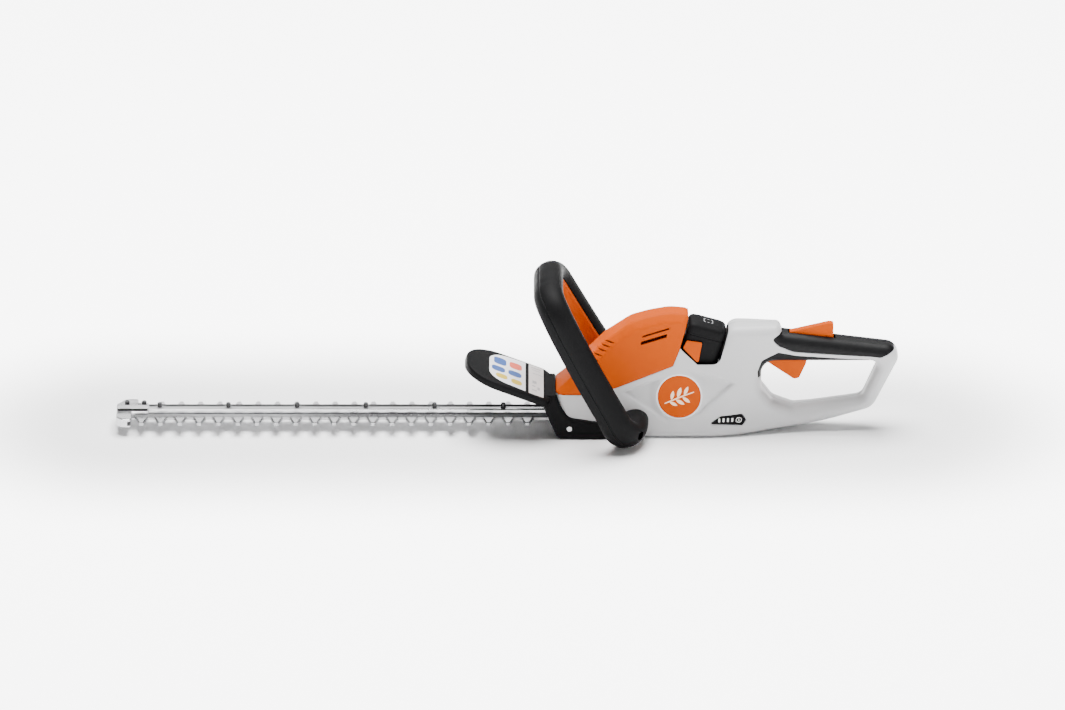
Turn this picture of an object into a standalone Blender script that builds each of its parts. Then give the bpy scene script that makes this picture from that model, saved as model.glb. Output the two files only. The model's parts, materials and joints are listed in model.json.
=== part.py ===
"""Cordless hedge trimmer, modelled as separate pieces.

Lengths below are in millimetres and are turned into metres when a mesh is made.
+X points to the rear handle (the blades point to -X), -Y is the left side and +Z is up.
The origin is the centre of the flat underside of the housing.
"""
import math

import bmesh
import bpy
import numpy as np
from mathutils import Matrix, Vector
from mathutils.geometry import delaunay_2d_cdt

MM = 0.001
GAP = 0.3                    # clearance between pieces that touch
PARTING_Y = 1.5              # the housing halves meet here, so the left one has the rib on the middle

# housing: side outline in the XZ plane, as corners (x, z, corner radius)
HOUSING_OUTLINE = [
    (-90, 0, 10), (100, 0, 200), (197, 9.5, 160), (254, 27, 20), (290, 100.7, 15),
    (150, 118, 0), (147, 127.5, 9), (89.3, 127.5, 15), (82, 108, 0), (52, 112, 0),
    (43.4, 141.6, 8), (22, 144, 40),
    (-1, 139.5, 30), (-22, 133, 30), (-51, 112, 30), (-94, 65, 14), (-108, 53, 4), (-101, 22, 20),
]
HAND_OPENING = [
    (126.5, 84, 13), (126.5, 52, 10), (140, 34.5, 12), (163, 27, 16), (241, 38.5, 12), (260.5, 84, 6),
]
BODY_HALF_WIDTH = 39.5       # at the underside
BODY_DRAFT = 0.155           # the sides lean in by this much per mm of height
HANDLE_HALF_WIDTH = 17.5
HANDLE_EDGE_RADIUS = 12.0
HANDLE_POINT_SPACING = 12.0
NARROWING = (100, 150)       # high up, the body narrows to the handle between these x
LOW_NARROWING = (55, 210)    # and at the underside between these
NARROWING_HEIGHTS = (10, 70) # the one turns into the other between these heights
WALL = 2.5
HANDLE_WALL = 5.8
THICKENING = (108, 126)      # the wall thickens between these x, to carry the grips
GRIP_THICKNESS = 2.4
GRIP_CLEARANCE = 1.2         # between a grip and the shell beneath it

# regions of the shell that are separate pieces, as side outlines
HOOD_REGION = [
    (-115, 50.5, 0), (-77, 50.3, 4), (-41, 58, 6), (25.8, 84, 2), (34.2, 105.5, 0),
    (50, 107, 0), (60, 160, 0), (-115, 160, 0),
]
GRIP_REGION = [
    (138, 113, 3), (147, 104.5, 8), (163, 98, 10), (262, 90.5, 8), (277, 98, 4),
    (300, 112, 0), (300, 135, 0), (150, 135, 0), (150, 119.5, 1),
]
LINER_REGION = [
    (122.5, 75, 2), (127, 88, 4), (146, 97, 4), (165, 93, 8), (250, 86, 0),
    (250, 78, 0), (140, 70, 0), (131, 68, 0), (123, 68, 0),
]

# battery: a block whose axis leans to the rear
BATTERY_TILT = 15.5
BATTERY_FOOT = (42.4, 43.2)  # x, z of the centre of its bottom
BATTERY_SIZE = (44.5, 38.0, 88.0)
BATTERY_GAP = 0.8

# blades
TOOTH_PITCH = 22.0
TOOTH_COUNT = 21
FIRST_TOOTH_X = -580.0
TOOTH_TIP_Y = 32.0
TOOTH_ROOT = 6.6             # half the tooth, along the blade, where it leaves the spine
TOOTH_TIP = 2.4              # and at its blunt tip
BLADE_HALF_WIDTH = 15.5
BLADE_THICKNESS = 2.0
LOWER_BLADE_Z = 13.0
UPPER_BLADE_Z = 15.3
BLADE_STROKE = 5.5           # each way from the middle
YOKE_HALF_LENGTH = 27.0
YOKE_SHOULDER = 19.0
YOKE_HALF_WIDTH = 21.0
YOKE_WINDOW = (21.4, 15.9)   # half length and half width
BAR_ENDS = (-572.5, -98.5)
BAR_BOTTOM_Z = 17.6
BAR_TOP_Z = 22.0
BAR_SIDES = (-6.0, 8.0)
BAR_RIM = (7.3, 23.4)        # near side and top of the raised far edge
BAR_BOLT_Y = 4.3
BAR_BOLT_X = [-560.0 + 78.5 * i for i in range(6)]
TIP_GUARD_OUTLINE = [
    (-609, -24, 6), (-602, -31, 7), (-592, -31, 3), (-592, -8, 1), (-573, -8, 1), (-573, 19, 2),
    (-585, 20, 1), (-585, 31, 3), (-600, 31, 7), (-605, 22, 3), (-609, 17, 3),
]
TIP_GUARD_Z = (10.6, 20.4)
TIP_RIDGE = (-4.5, 5.0, 24.0)  # sides and top of the ridge that carries on the bar's line
TIP_BOLTS = [(-597.5, 12.0), (-578.0, 12.0)]

# drive
CRANK_X = -65.0
MOTOR_X = -30.0
GEAR_MODULE = 5 / 3
GEAR_TEETH = 36
PINION_TEETH = 6
ECCENTRIC_RADIUS = 9.7
GEAR_Z = (19.2, 26.0)

# bow handle: centre line of one leg from the housing to the middle of the top
BOW_PATH = [
    (-21, 30, 18), (-21, 42, 17.8), (-22, 56, 17.5), (-27, 70, 18.5), (-36, 79, 28),
    (-46, 80, 47), (-70, 73.5, 89), (-94, 65.5, 133), (-108, 57, 160), (-115, 40, 172),
    (-116, 20, 174.5), (-116, 0, 175),
]
BOW_SCREW = (-21.0, 18.0)
BOW_STATIONS = 35            # cross-sections along the bow
SWITCH_BAR_STATIONS = (6, 28)
BOW_LEAN = 28.0              # the loop leans forward by this angle
BOW_FORE_AFT = 17.5          # half sizes of the tube
BOW_ACROSS = 13.5
BOW_WALL = 2.6
BOW_SEAM = 5.8               # the seam lies this far in front of the centre line
BOW_SEAM_GAP = 0.6

# hand guard
GUARD_ROOT = (-121.0, 50.5)  # x, z
GUARD_SLOPE = 21.0
GUARD_LENGTH = 94.0
GUARD_HALF_WIDTH = 48.0
BASE_OUTLINE = [
    (-122, 51.5, 2), (-120, 33, 10), (-107, 5, 4), (-103, 1.2, 3), (-47, 1.2, 0), (-47, 18, 2),
    (-93, 25, 14), (-101, 36, 10), (-108.6, 51.5, 0),
]
BASE_THICKNESS = 2.8
GUARD_SCREW = (-92.0, 12.5)

HOUSING_SCREWS = [(-62, 44), (8, 22), (72, 40), (118, 112), (222, 26.5)]
BADGE_CENTRE = (33.0, 49.0)
BADGE_RADIUS = 24.5
PANEL_CENTRE = (89.5, 21.0)
SWITCH_BAR_SECTION = [(-9.0, 8.4), (-9.0, 12.4), (-6.5, 14.2), (0, 14.8), (7.5, 14.4), (11.2, 12.2),
                      (11.2, 8.4)]
PANEL_WINDOW = [(-14.5, -2.6), (8, -4.4), (14.8, -4.8), (17.2, -1), (13.6, 4.8), (-8.6, 3.0)]
LATCH_CENTRE = (46.0, 104.4)
TRIGGER_PIVOT = (137.0, 97.0)
LOCKOUT_PIVOT = (164.0, 105.0)


def clear_scene():
    for old in list(bpy.data.objects):
        bpy.data.objects.remove(old, do_unlink=True)


def material(name, colour, roughness, metallic=0.0):
    made = bpy.data.materials.new(name)
    made.use_nodes = True
    shader = made.node_tree.nodes["Principled BSDF"]
    shader.inputs["Base Color"].default_value = (*colour, 1.0)
    shader.inputs["Roughness"].default_value = roughness
    shader.inputs["Metallic"].default_value = metallic
    made.diffuse_color = (*colour, 1.0)
    return made


# ---------------------------------------------------------------- outlines

def area(loop):
    total = 0.0
    for (ax, ay), (bx, by) in zip(loop, loop[1:] + loop[:1]):
        total += ax * by - bx * ay
    return total / 2


def rounded(corners, step=26.0):
    """A closed outline whose corners (x, y, radius) are rounded, running anticlockwise."""
    loop = []
    count = len(corners)
    for i in range(count):
        here = Vector(corners[i][:2])
        before = Vector(corners[i - 1][:2]) - here
        after = Vector(corners[(i + 1) % count][:2]) - here
        radius = corners[i][2]
        turn = before.angle(after)
        if radius <= 0 or turn > math.radians(178):
            loop.append(tuple(here))
            continue
        reach = min(radius / math.tan(turn / 2), before.length * 0.49, after.length * 0.49)
        radius = reach * math.tan(turn / 2)
        inwards = (before.normalized() + after.normalized()).normalized()
        middle = here + inwards * (radius / math.sin(turn / 2))
        start = here + before.normalized() * reach - middle
        end = here + after.normalized() * reach - middle
        sweep = start.angle_signed(end)
        pieces = max(1, math.ceil(abs(math.degrees(sweep)) / step))
        for k in range(pieces + 1):
            angle = -sweep * k / pieces
            point = middle + Matrix.Rotation(angle, 2) @ start
            loop.append(tuple(point))
    if area(loop) < 0:
        loop.reverse()
    return loop


def divided(loop, longest):
    made = []
    for (ax, ay), (bx, by) in zip(loop, loop[1:] + loop[:1]):
        most = longest if max(ax, bx) < NARROWING[0] + 5 else HANDLE_POINT_SPACING
        pieces = max(1, math.ceil(math.hypot(bx - ax, by - ay) / most))
        for k in range(pieces):
            made.append((ax + (bx - ax) * k / pieces, ay + (by - ay) * k / pieces))
    return made


def moved_in(loop, distance):
    """An anticlockwise outline moved to its inside by a distance."""
    made = []
    for i, here in enumerate(loop):
        before = (Vector(here) - Vector(loop[i - 1])).normalized()
        after = (Vector(loop[(i + 1) % len(loop)]) - Vector(here)).normalized()
        normal = Vector((-before.y - after.y, before.x + after.x)).normalized()
        lean = max(0.35, normal.dot(Vector((-before.y, before.x))))
        made.append(tuple(Vector(here) + normal * (distance / lean)))
    return made


def inside(points, loop):
    points = np.asarray(points, float)
    result = np.zeros(len(points), bool)
    for (ax, ay), (bx, by) in zip(loop, loop[1:] + loop[:1]):
        crosses = (ay > points[:, 1]) != (by > points[:, 1])
        with np.errstate(divide="ignore", invalid="ignore"):
            at = (bx - ax) * (points[:, 1] - ay) / (by - ay) + ax
        result ^= crosses & (points[:, 0] < at)
    return result


def distance_to(points, loops):
    points = np.asarray(points, float)
    best = np.full(len(points), 1e9)
    for loop in loops:
        for a, b in zip(loop, loop[1:] + loop[:1]):
            a = np.array(a)
            edge = np.array(b) - a
            along = np.clip(((points - a) @ edge) / max(edge @ edge, 1e-12), 0, 1)
            best = np.minimum(best, np.linalg.norm(points - a - along[:, None] * edge, axis=1))
    return best


def filled(loops, extra=()):
    """Triangles over the first outline, leaving the other outlines open."""
    points = []
    edges = []
    for loop in loops:
        first = len(points)
        points += loop
        edges += [(first + i, first + (i + 1) % len(loop)) for i in range(len(loop))]
    points += list(extra)
    found = delaunay_2d_cdt([Vector(p) for p in points], edges, [], 0, 1e-6)
    places = [tuple(p) for p in found[0]]
    middles = [np.mean([places[i] for i in face], axis=0) for face in found[2]]
    keep = inside(middles, loops[0])
    for hole in loops[1:]:
        keep &= ~inside(middles, hole)
    return places, [face for face, kept in zip(found[2], keep) if kept]


# ---------------------------------------------------------------- solids

def solid(name, points, faces, surface, smooth=35.0):
    mesh = bpy.data.meshes.new(name)
    mesh.from_pydata([Vector(p) * MM for p in points], [], faces)
    shape = bmesh.new()
    shape.from_mesh(mesh)
    bmesh.ops.remove_doubles(shape, verts=shape.verts, dist=1e-6)
    bmesh.ops.recalc_face_normals(shape, faces=shape.faces)
    shape.to_mesh(mesh)
    shape.free()
    mesh.shade_smooth()
    mesh.set_sharp_from_angle(angle=math.radians(smooth))
    made = bpy.data.objects.new(name, mesh)
    if surface:
        mesh.materials.append(surface)
    bpy.context.scene.collection.objects.link(made)
    return made


def tool(made):
    """Marks an object as a cutter, which is not a piece of the trimmer."""
    made.hide_render = True
    made.display_type = "WIRE"
    return made


def apply_shape(made, operation, other):
    step = made.modifiers.new(operation.lower(), "BOOLEAN")
    step.operation = operation
    step.solver = "EXACT"
    step.object = other
    return made


def cut(made, *others):
    for other in others:
        apply_shape(made, "DIFFERENCE", other)
    return made


def keep(made, *others):
    for other in others:
        apply_shape(made, "INTERSECT", other)
    return made


def join(made, *others):
    for other in others:
        apply_shape(made, "UNION", other)
    return made


PLANES = {
    "XZ": lambda u, v, t: (u, t, v),
    "XY": lambda u, v, t: (u, v, t),
    "YZ": lambda u, v, t: (t, u, v),
}


def extruded(name, loops, low, high, plane, surface=None, place=None):
    """A flat outline (with any holes) given a thickness from low to high."""
    if not isinstance(loops[0], list):
        loops = [loops]
    flat, triangles = filled(loops)
    to_space = PLANES[plane]
    count = len(flat)
    points = [to_space(u, v, low) for u, v in flat] + [to_space(u, v, high) for u, v in flat]
    faces = [tuple(reversed(face)) for face in triangles]
    faces += [tuple(i + count for i in face) for face in triangles]
    edges = {}
    for face in triangles:
        for a, b in zip(face, face[1:] + face[:1]):
            edges[(a, b)] = True
    for a, b in edges:
        if (b, a) not in edges:
            faces.append((a, b, b + count, a + count))
    made = solid(name, points, faces, surface)
    if place is not None:
        made.matrix_world = place
    return made


def box(name, low, high, surface=None, place=None):
    outline = [(low[0], low[1]), (high[0], low[1]), (high[0], high[1]), (low[0], high[1])]
    return extruded(name, outline, low[2], high[2], "XY", surface, place)


def turned(name, profile, centre, axis, surface=None, sides=20):
    """A profile of (radius, height) turned about an axis through a centre point."""
    points = []
    faces = []
    count = len(profile)
    for k in range(sides):
        angle = 2 * math.pi * k / sides
        for radius, height in profile:
            points.append((radius * math.cos(angle), radius * math.sin(angle), height))
    for k in range(sides):
        here = k * count
        there = ((k + 1) % sides) * count
        for i in range(count):
            j = (i + 1) % count
            if profile[i][0] == 0 and profile[j][0] == 0:
                continue
            faces.append((here + i, there + i, there + j, here + j))
    made = solid(name, points, faces, surface)
    made.rotation_euler = Vector((0, 0, 1)).rotation_difference(Vector(axis)).to_euler()
    made.location = Vector(centre) * MM
    return made


def swept(name, sections, surface=None):
    """A closed tube through sections, each a list of points in space."""
    points = [p for section in sections for p in section]
    count = len(sections[0])
    faces = [tuple(range(count)), tuple(range(len(points) - count, len(points)))]
    for s in range(len(sections) - 1):
        for i in range(count):
            j = (i + 1) % count
            faces.append((s * count + i, s * count + j, (s + 1) * count + j, (s + 1) * count + i))
    return solid(name, points, faces, surface)


# ---------------------------------------------------------------- housing surface

def smoothstep(low, high, value):
    t = np.clip((value - low) / (high - low), 0, 1)
    return t * t * (3 - 2 * t)


def handle_share(x, z):
    """0 on the body and 1 on the rear handle."""
    high = smoothstep(*NARROWING_HEIGHTS, z)
    start = LOW_NARROWING[0] + (NARROWING[0] - LOW_NARROWING[0]) * high
    end = LOW_NARROWING[1] + (NARROWING[1] - LOW_NARROWING[1]) * high
    return smoothstep(start, end, x)


def half_width(x, z):
    body = BODY_HALF_WIDTH - BODY_DRAFT * z
    share = handle_share(x, z)
    return body * (1 - share) + HANDLE_HALF_WIDTH * share


def edge_radius(x, z):
    hood_line = 50 + 0.42 * np.clip(x + 77, 0, 200)
    in_hood = smoothstep(-2, 6, z - hood_line) * (1 - smoothstep(47, 56, x))
    body = 9.0 - 5.0 * in_hood
    share = handle_share(x, z)
    return body * (1 - share) + HANDLE_EDGE_RADIUS * share


def wall_at(x):
    return WALL + (HANDLE_WALL - WALL) * float(smoothstep(*THICKENING, x))


def pillow(name, outline, holes, depth, extra_width=0.0, coarse=False, surface=None):
    """The body between the two sides, its surface moved in by depth (a number or 'wall')."""
    longest = 30 if coarse else 26
    base = [divided(outline, longest)] + [divided(hole, longest) for hole in holes]
    loops = []
    for index, loop in enumerate(base):
        sign = 1 if index == 0 else -1
        if depth == "wall":
            near = moved_in(loop, sign * WALL)
            far = moved_in(loop, sign * HANDLE_WALL)
            shares = [float(smoothstep(*THICKENING, x)) for x, _ in loop]
            loops.append([(a[0] + (b[0] - a[0]) * s, a[1] + (b[1] - a[1]) * s)
                          for a, b, s in zip(near, far, shares)])
        else:
            loops.append(moved_in(loop, sign * depth))
    rings = (45, 72) if coarse else (36, 72)
    extra = []
    for index, loop in enumerate(loops):
        for ring in rings:
            sign = 1 if index == 0 else -1
            for x, z in loop:
                radius = float(edge_radius(x, z))
                inset = radius * (1 - math.cos(math.radians(ring)))
                i = loop.index((x, z))
                point = moved_in([loop[i - 1], (x, z), loop[(i + 1) % len(loop)]], sign * inset)[1]
                extra.append((point[0], point[1], inset))
    spacing = 34 if coarse else 28
    xs = [p[0] for p in loops[0]]
    zs = [p[1] for p in loops[0]]
    for i in range(int((max(xs) - min(xs)) / spacing) + 1):
        for j in range(int((max(zs) - min(zs)) / spacing) + 1):
            extra.append((min(xs) + spacing * (i + 0.5), min(zs) + spacing * (j + 0.5), 13.5))
    flat = np.array([p[:2] for p in extra])
    reach = distance_to(flat, loops)
    good = inside(flat, loops[0]) & (reach > 0.9 * np.array([p[2] for p in extra])) & (reach > 0.5)
    for hole in loops[1:]:
        good &= ~inside(flat, hole)
    kept = [tuple(p) for p in flat[good]]
    places, triangles = filled(loops, kept)
    flat = np.array(places)
    reach = distance_to(flat, loops)
    shift = np.array([wall_at(x) for x in flat[:, 0]]) if depth == "wall" else depth
    width = half_width(flat[:, 0], flat[:, 1]) - shift + extra_width
    radius = np.maximum(edge_radius(flat[:, 0], flat[:, 1]) - shift, 1.5)
    rise = np.where(reach < radius, radius - np.sqrt(np.maximum(radius ** 2 - (radius - reach) ** 2, 0)), 0)
    height = width - rise
    count = len(places)
    points = [(p[0], -h, p[1]) for p, h in zip(places, height)]
    points += [(p[0], h, p[1]) for p, h in zip(places, height)]
    faces = [tuple(face) for face in triangles]
    faces += [tuple(i + count for i in reversed(face)) for face in triangles]
    edges = {(a, b) for face in triangles for a, b in zip(face, face[1:] + face[:1])}
    faces += [(a, b, b + count, a + count) for a, b in edges if (b, a) not in edges]
    return solid(name, points, faces, surface, smooth=28.0)


def on_side(x, z, side):
    """Where a piece sits on a side of the body: local x along it, y up it and z outwards."""
    rise_x = float(half_width(x + 1, z) - half_width(x - 1, z)) / 2
    rise_z = float(half_width(x, z + 1) - half_width(x, z - 1)) / 2
    out = Vector((-rise_x, side, -rise_z)).normalized()
    along = (Vector((-side, 0, 0)) + out * side * out.x).normalized()
    up = out.cross(along)
    turn = Matrix((along, up, out)).transposed().to_4x4()
    return Matrix.Translation(Vector((x, side * float(half_width(x, z)), z)) * MM) @ turn


def in_battery(x, y, z):
    """A point of the battery's own frame as a point of the trimmer's frame."""
    lean = math.radians(BATTERY_TILT)
    return (BATTERY_FOOT[0] + x * math.cos(lean) + z * math.sin(lean), y,
            BATTERY_FOOT[1] - x * math.sin(lean) + z * math.cos(lean))


def battery_frame():
    tilt = Matrix.Rotation(math.radians(BATTERY_TILT), 4, "Y")
    return Matrix.Translation(Vector(in_battery(0, 0, 0)) * MM) @ tilt


def circle(radius, sides=24, centre=(0.0, 0.0)):
    return [(centre[0] + radius * math.cos(2 * math.pi * k / sides),
             centre[1] + radius * math.sin(2 * math.pi * k / sides)) for k in range(sides)]


def rectangle(x0, y0, x1, y1):
    return [(x0, y0), (x1, y0), (x1, y1), (x0, y1)]


# ---------------------------------------------------------------- housing, hood and grips

def bay_outline():
    half = BATTERY_SIZE[0] / 2 + BATTERY_GAP
    top_right = in_battery(half, 0, 130)
    low_right = in_battery(half, 0, 51.5)
    return rounded([(49.5, 160, 0), (33.6, 104.3, 0), (53.6, 85.6, 3), (low_right[0], 85.6, 11),
                    (top_right[0], top_right[2], 0)])


def housing_bodies():
    outline = rounded(HOUSING_OUTLINE)
    opening = rounded(HAND_OPENING)
    return {
        "outer": tool(pillow("guide_outer", outline, [opening], 0.0)),
        "clear": tool(pillow("guide_clear", outline, [opening], -GAP)),
        "cavity": tool(pillow("guide_cavity", outline, [opening], "wall", coarse=True)),
        "under_grip": tool(pillow("guide_under_grip", outline, [opening], GRIP_THICKNESS)),
        "grip_seat": tool(pillow("guide_grip_seat", outline, [opening], GRIP_THICKNESS + GRIP_CLEARANCE)),
    }


def duplicate(source, name, surface):
    made = bpy.data.objects.new(name, source.data.copy())
    made.data.materials.clear()
    made.data.materials.append(surface)
    bpy.context.scene.collection.objects.link(made)
    return made


def make_shells(guides, colours):
    wide = 60
    hood_region = rounded(HOOD_REGION)
    grip_region = rounded(GRIP_REGION)
    liner_region = rounded(LINER_REGION)
    half_spaces = {
        "left": tool(box("cut_left_half", (-200, -60, -20), (320, PARTING_Y - GAP / 2, 180))),
        "right": tool(box("cut_right_half", (-200, PARTING_Y + GAP / 2, -20), (320, 60, 180))),
    }
    hood_space = tool(extruded("cut_hood_space", hood_region, -wide, wide, "XZ"))
    hood_block = tool(extruded("keep_hood", moved_in(hood_region, GAP), -wide, wide, "XZ"))
    bay = tool(extruded("cut_battery_bay", bay_outline(), -wide, wide, "XZ"))
    grip_seat = tool(cut(extruded("cut_grip_seat", grip_region, -wide, wide, "XZ"), guides["grip_seat"]))
    liner_seat = tool(cut(extruded("cut_liner_seat", liner_region, -wide, wide, "XZ"), guides["grip_seat"]))
    grip_block = tool(extruded("keep_grip", moved_in(grip_region, GAP), -wide, wide, "XZ"))
    liner_block = tool(extruded("keep_liner", moved_in(liner_region, GAP), -wide, wide, "XZ"))
    trigger_slot = tool(box("cut_trigger_slot", (131.5, -6, 60), (190, 6, 99)))
    lockout_slot = tool(box("cut_lockout_slot", (157, -5.5, 100), (211, 5.5, 135)))
    blade_slot = tool(box("cut_blade_slot", (-130, -18.5, 11), (-80, 18.5, 27)))
    badge_seats = [
        tool(extruded("cut_badge_seat_" + tag, circle(BADGE_RADIUS + GAP, 40), -0.9, 5, "XY",
                      place=on_side(*BADGE_CENTRE, side)))
        for tag, side in (("left", -1), ("right", 1))
    ]
    panel_seat = tool(extruded("cut_panel_seat", moved_in(panel_outline(), -GAP), -1.3, 5, "XY",
                               place=on_side(*PANEL_CENTRE, -1)))
    panel_window = tool(extruded("cut_panel_window", PANEL_WINDOW, -8, 5, "XY",
                                 place=on_side(*PANEL_CENTRE, -1)))

    housings = {}
    for tag, half in half_spaces.items():
        shell = duplicate(guides["outer"], "housing_" + tag, colours["white"])
        cut(shell, guides["cavity"])
        keep(shell, half)
        cut(shell, hood_space, bay, grip_seat, liner_seat, trigger_slot, lockout_slot, blade_slot)
        cut(shell, badge_seats[0] if tag == "left" else badge_seats[1])
        housings[tag] = shell
    cut(housings["left"], panel_seat, panel_window)

    hood = duplicate(guides["outer"], "motor_hood", colours["orange"])
    cut(hood, guides["cavity"])
    keep(hood, hood_block)
    cut(hood, bay)
    for index, (x, z, length) in enumerate(((3.5, 122.5, 31), (1.5, 114.5, 28))):
        slot = rounded([(-length / 2, -1.6, 0.8), (length / 2, -1.2, 0.8),
                        (length / 2 + 1.5, 1.6, 0.8), (-length / 2 + 2, 1.6, 0.8)])
        slope = Matrix.Rotation(math.radians(-17), 4, "Y")
        place = Matrix.Translation(Vector((x, 0, z)) * MM) @ slope
        cut(hood, tool(extruded("cut_hood_vent_%d" % (index + 1), slot, -wide, wide, "XZ", place=place)))

    for tag, half in half_spaces.items():
        grip = duplicate(guides["outer"], "grip_" + tag, colours["black"])
        cut(grip, guides["under_grip"])
        keep(grip, grip_block, half)
        cut(grip, lockout_slot)
    liner = duplicate(guides["outer"], "handle_liner", colours["black"])
    cut(liner, guides["under_grip"])
    keep(liner, liner_block)
    cut(liner, trigger_slot)
    return housings


def housing_screws(housings, colours):
    for index, (x, z) in enumerate(HOUSING_SCREWS):
        surface = float(half_width(x, z))
        screw = [(0, -0.2), (3.2, -0.2), (3.2, -1.8), (1.6, -1.8), (1.6, -12), (0, -12)]
        turned("housing_screw_%d" % (index + 1), screw, (x, surface - 1.2, z), (0, 1, 0), colours["steel"], 16)
        hole = [(0, 6), (4.0, 6), (4.0, -2.3), (2.0, -2.3), (2.0, -14), (0, -14)]
        cut(housings["right"], tool(turned("cut_housing_screw_%d" % (index + 1), hole,
                                           (x, surface - 1.2, z), (0, 1, 0), None, 16)))


# ---------------------------------------------------------------- badges, panel, latches, battery

def panel_outline():
    return rounded([(-19.5, -2.5, 1), (-19.5, -3.6, 1), (8, -5.6, 2), (15.5, -6.2, 2), (19.5, -1, 2),
                    (15, 6.2, 2), (-9, 4.4, 3)])


def make_side_pieces(colours):
    for tag, side in (("left", -1), ("right", 1)):
        extruded("badge_" + tag, circle(BADGE_RADIUS, 40), -0.6, 0.9, "XY", colours["orange"],
                 on_side(*BADGE_CENTRE, side))
    place = on_side(*PANEL_CENTRE, -1)
    windows = [(-11.0 + 5.0 * i, 0.2) for i in range(4)]
    holes = [rectangle(x - 1.5, z - 2.5, x + 1.5, z + 2.5) for x, z in windows]
    button_at = (11.5, 0.3)
    holes.append(circle(4.3, 20, button_at))
    extruded("indicator_panel", [panel_outline()] + holes, -1.0, 0.5, "XY", colours["black"], place)
    for index, (x, z) in enumerate(windows):
        extruded("charge_light_%d" % (index + 1), rectangle(x - 1.2, z - 2.2, x + 1.2, z + 2.2),
                 -0.9, 0.7, "XY", colours["pale"], place)
    extruded("indicator_button", circle(3.9, 20, button_at), -2.0, 1.2, "XY", colours["black"], place)
    latch = rounded([(-8.9, 0.6, 1), (8.4, -17.6, 1.5), (13.0, 6.8, 1), (-4.6, 9.2, 1)])
    mirrored = [(-x, z) for x, z in reversed(latch)]
    for tag, side, outline in (("left", -1, latch), ("right", 1, mirrored)):
        extruded("latch_" + tag, outline, -1.6, 0.2, "XY", colours["orange"], on_side(*LATCH_CENTRE, side))


def make_battery(colours):
    width, depth, length = BATTERY_SIZE
    outline = rounded([(-width / 2, -depth / 2, 7), (width / 2, -depth / 2, 7),
                       (width / 2, depth / 2, 7), (-width / 2, depth / 2, 7)], 22.5)
    sections = []
    for inset, height in ((1.5, 0), (0, 1.5), (0, length - 5), (1.2, length - 2), (4.5, length)):
        ring = moved_in(outline, inset)
        sections.append([in_battery(x, y, height) for x, y in ring])
    top = moved_in(outline, 9.0)
    sections.append([in_battery(x * 0.75, y * 0.75, length + 1.2) for x, y in top])
    return swept("battery", sections, colours["black"])


# ---------------------------------------------------------------- rear handle controls

def make_controls(colours):
    px, pz = TRIGGER_PIVOT
    trigger_side = rounded([(132.5, 102, 3), (142, 102, 3), (150, 93, 4), (179, 88, 1.5), (178, 79, 10),
                            (170, 61, 3), (164, 59.5, 4), (133, 81, 3)])
    extruded("trigger", [trigger_side, circle(2.4, 16, (px, pz))], -5, 5, "XZ", colours["orange"])
    turned("trigger_pin", [(0, -9), (2, -9), (2, 9), (0, 9)], (px, 0, pz), (0, 1, 0), colours["steel"], 10)
    lx, lz = LOCKOUT_PIVOT
    lever_side = rounded([(158.5, 117.6, 1), (203, 128.2, 3), (208.5, 127.6, 2), (208.5, 105, 2),
                          (203, 105, 2), (199, 111, 3), (171, 101, 3), (158.5, 101, 3)])
    extruded("lockout_lever", [lever_side, circle(2.0, 16, (lx, lz))], -4.6, 4.6, "XZ", colours["orange"])
    turned("lockout_pin", [(0, -6.5), (1.6, -6.5), (1.6, 6.5), (0, 6.5)], (lx, 0, lz), (0, 1, 0),
           colours["steel"], 12)
    box("trigger_switch", (100, -7, 91), (122, 7, 105), colours["black"])


# ---------------------------------------------------------------- drive

def gear_outline(teeth, centre, phase=0.0):
    pitch_radius = GEAR_MODULE * teeth / 2
    tip = pitch_radius + 0.75 * GEAR_MODULE
    root = pitch_radius - 1.15 * GEAR_MODULE
    step = 2 * math.pi / teeth
    loop = []
    for i in range(teeth):
        for share, radius in ((-0.27, root), (-0.11, tip), (0.11, tip), (0.27, root)):
            angle = phase + step * (i + share)
            loop.append((centre[0] + radius * math.cos(angle), centre[1] + radius * math.sin(angle)))
    return loop


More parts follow.
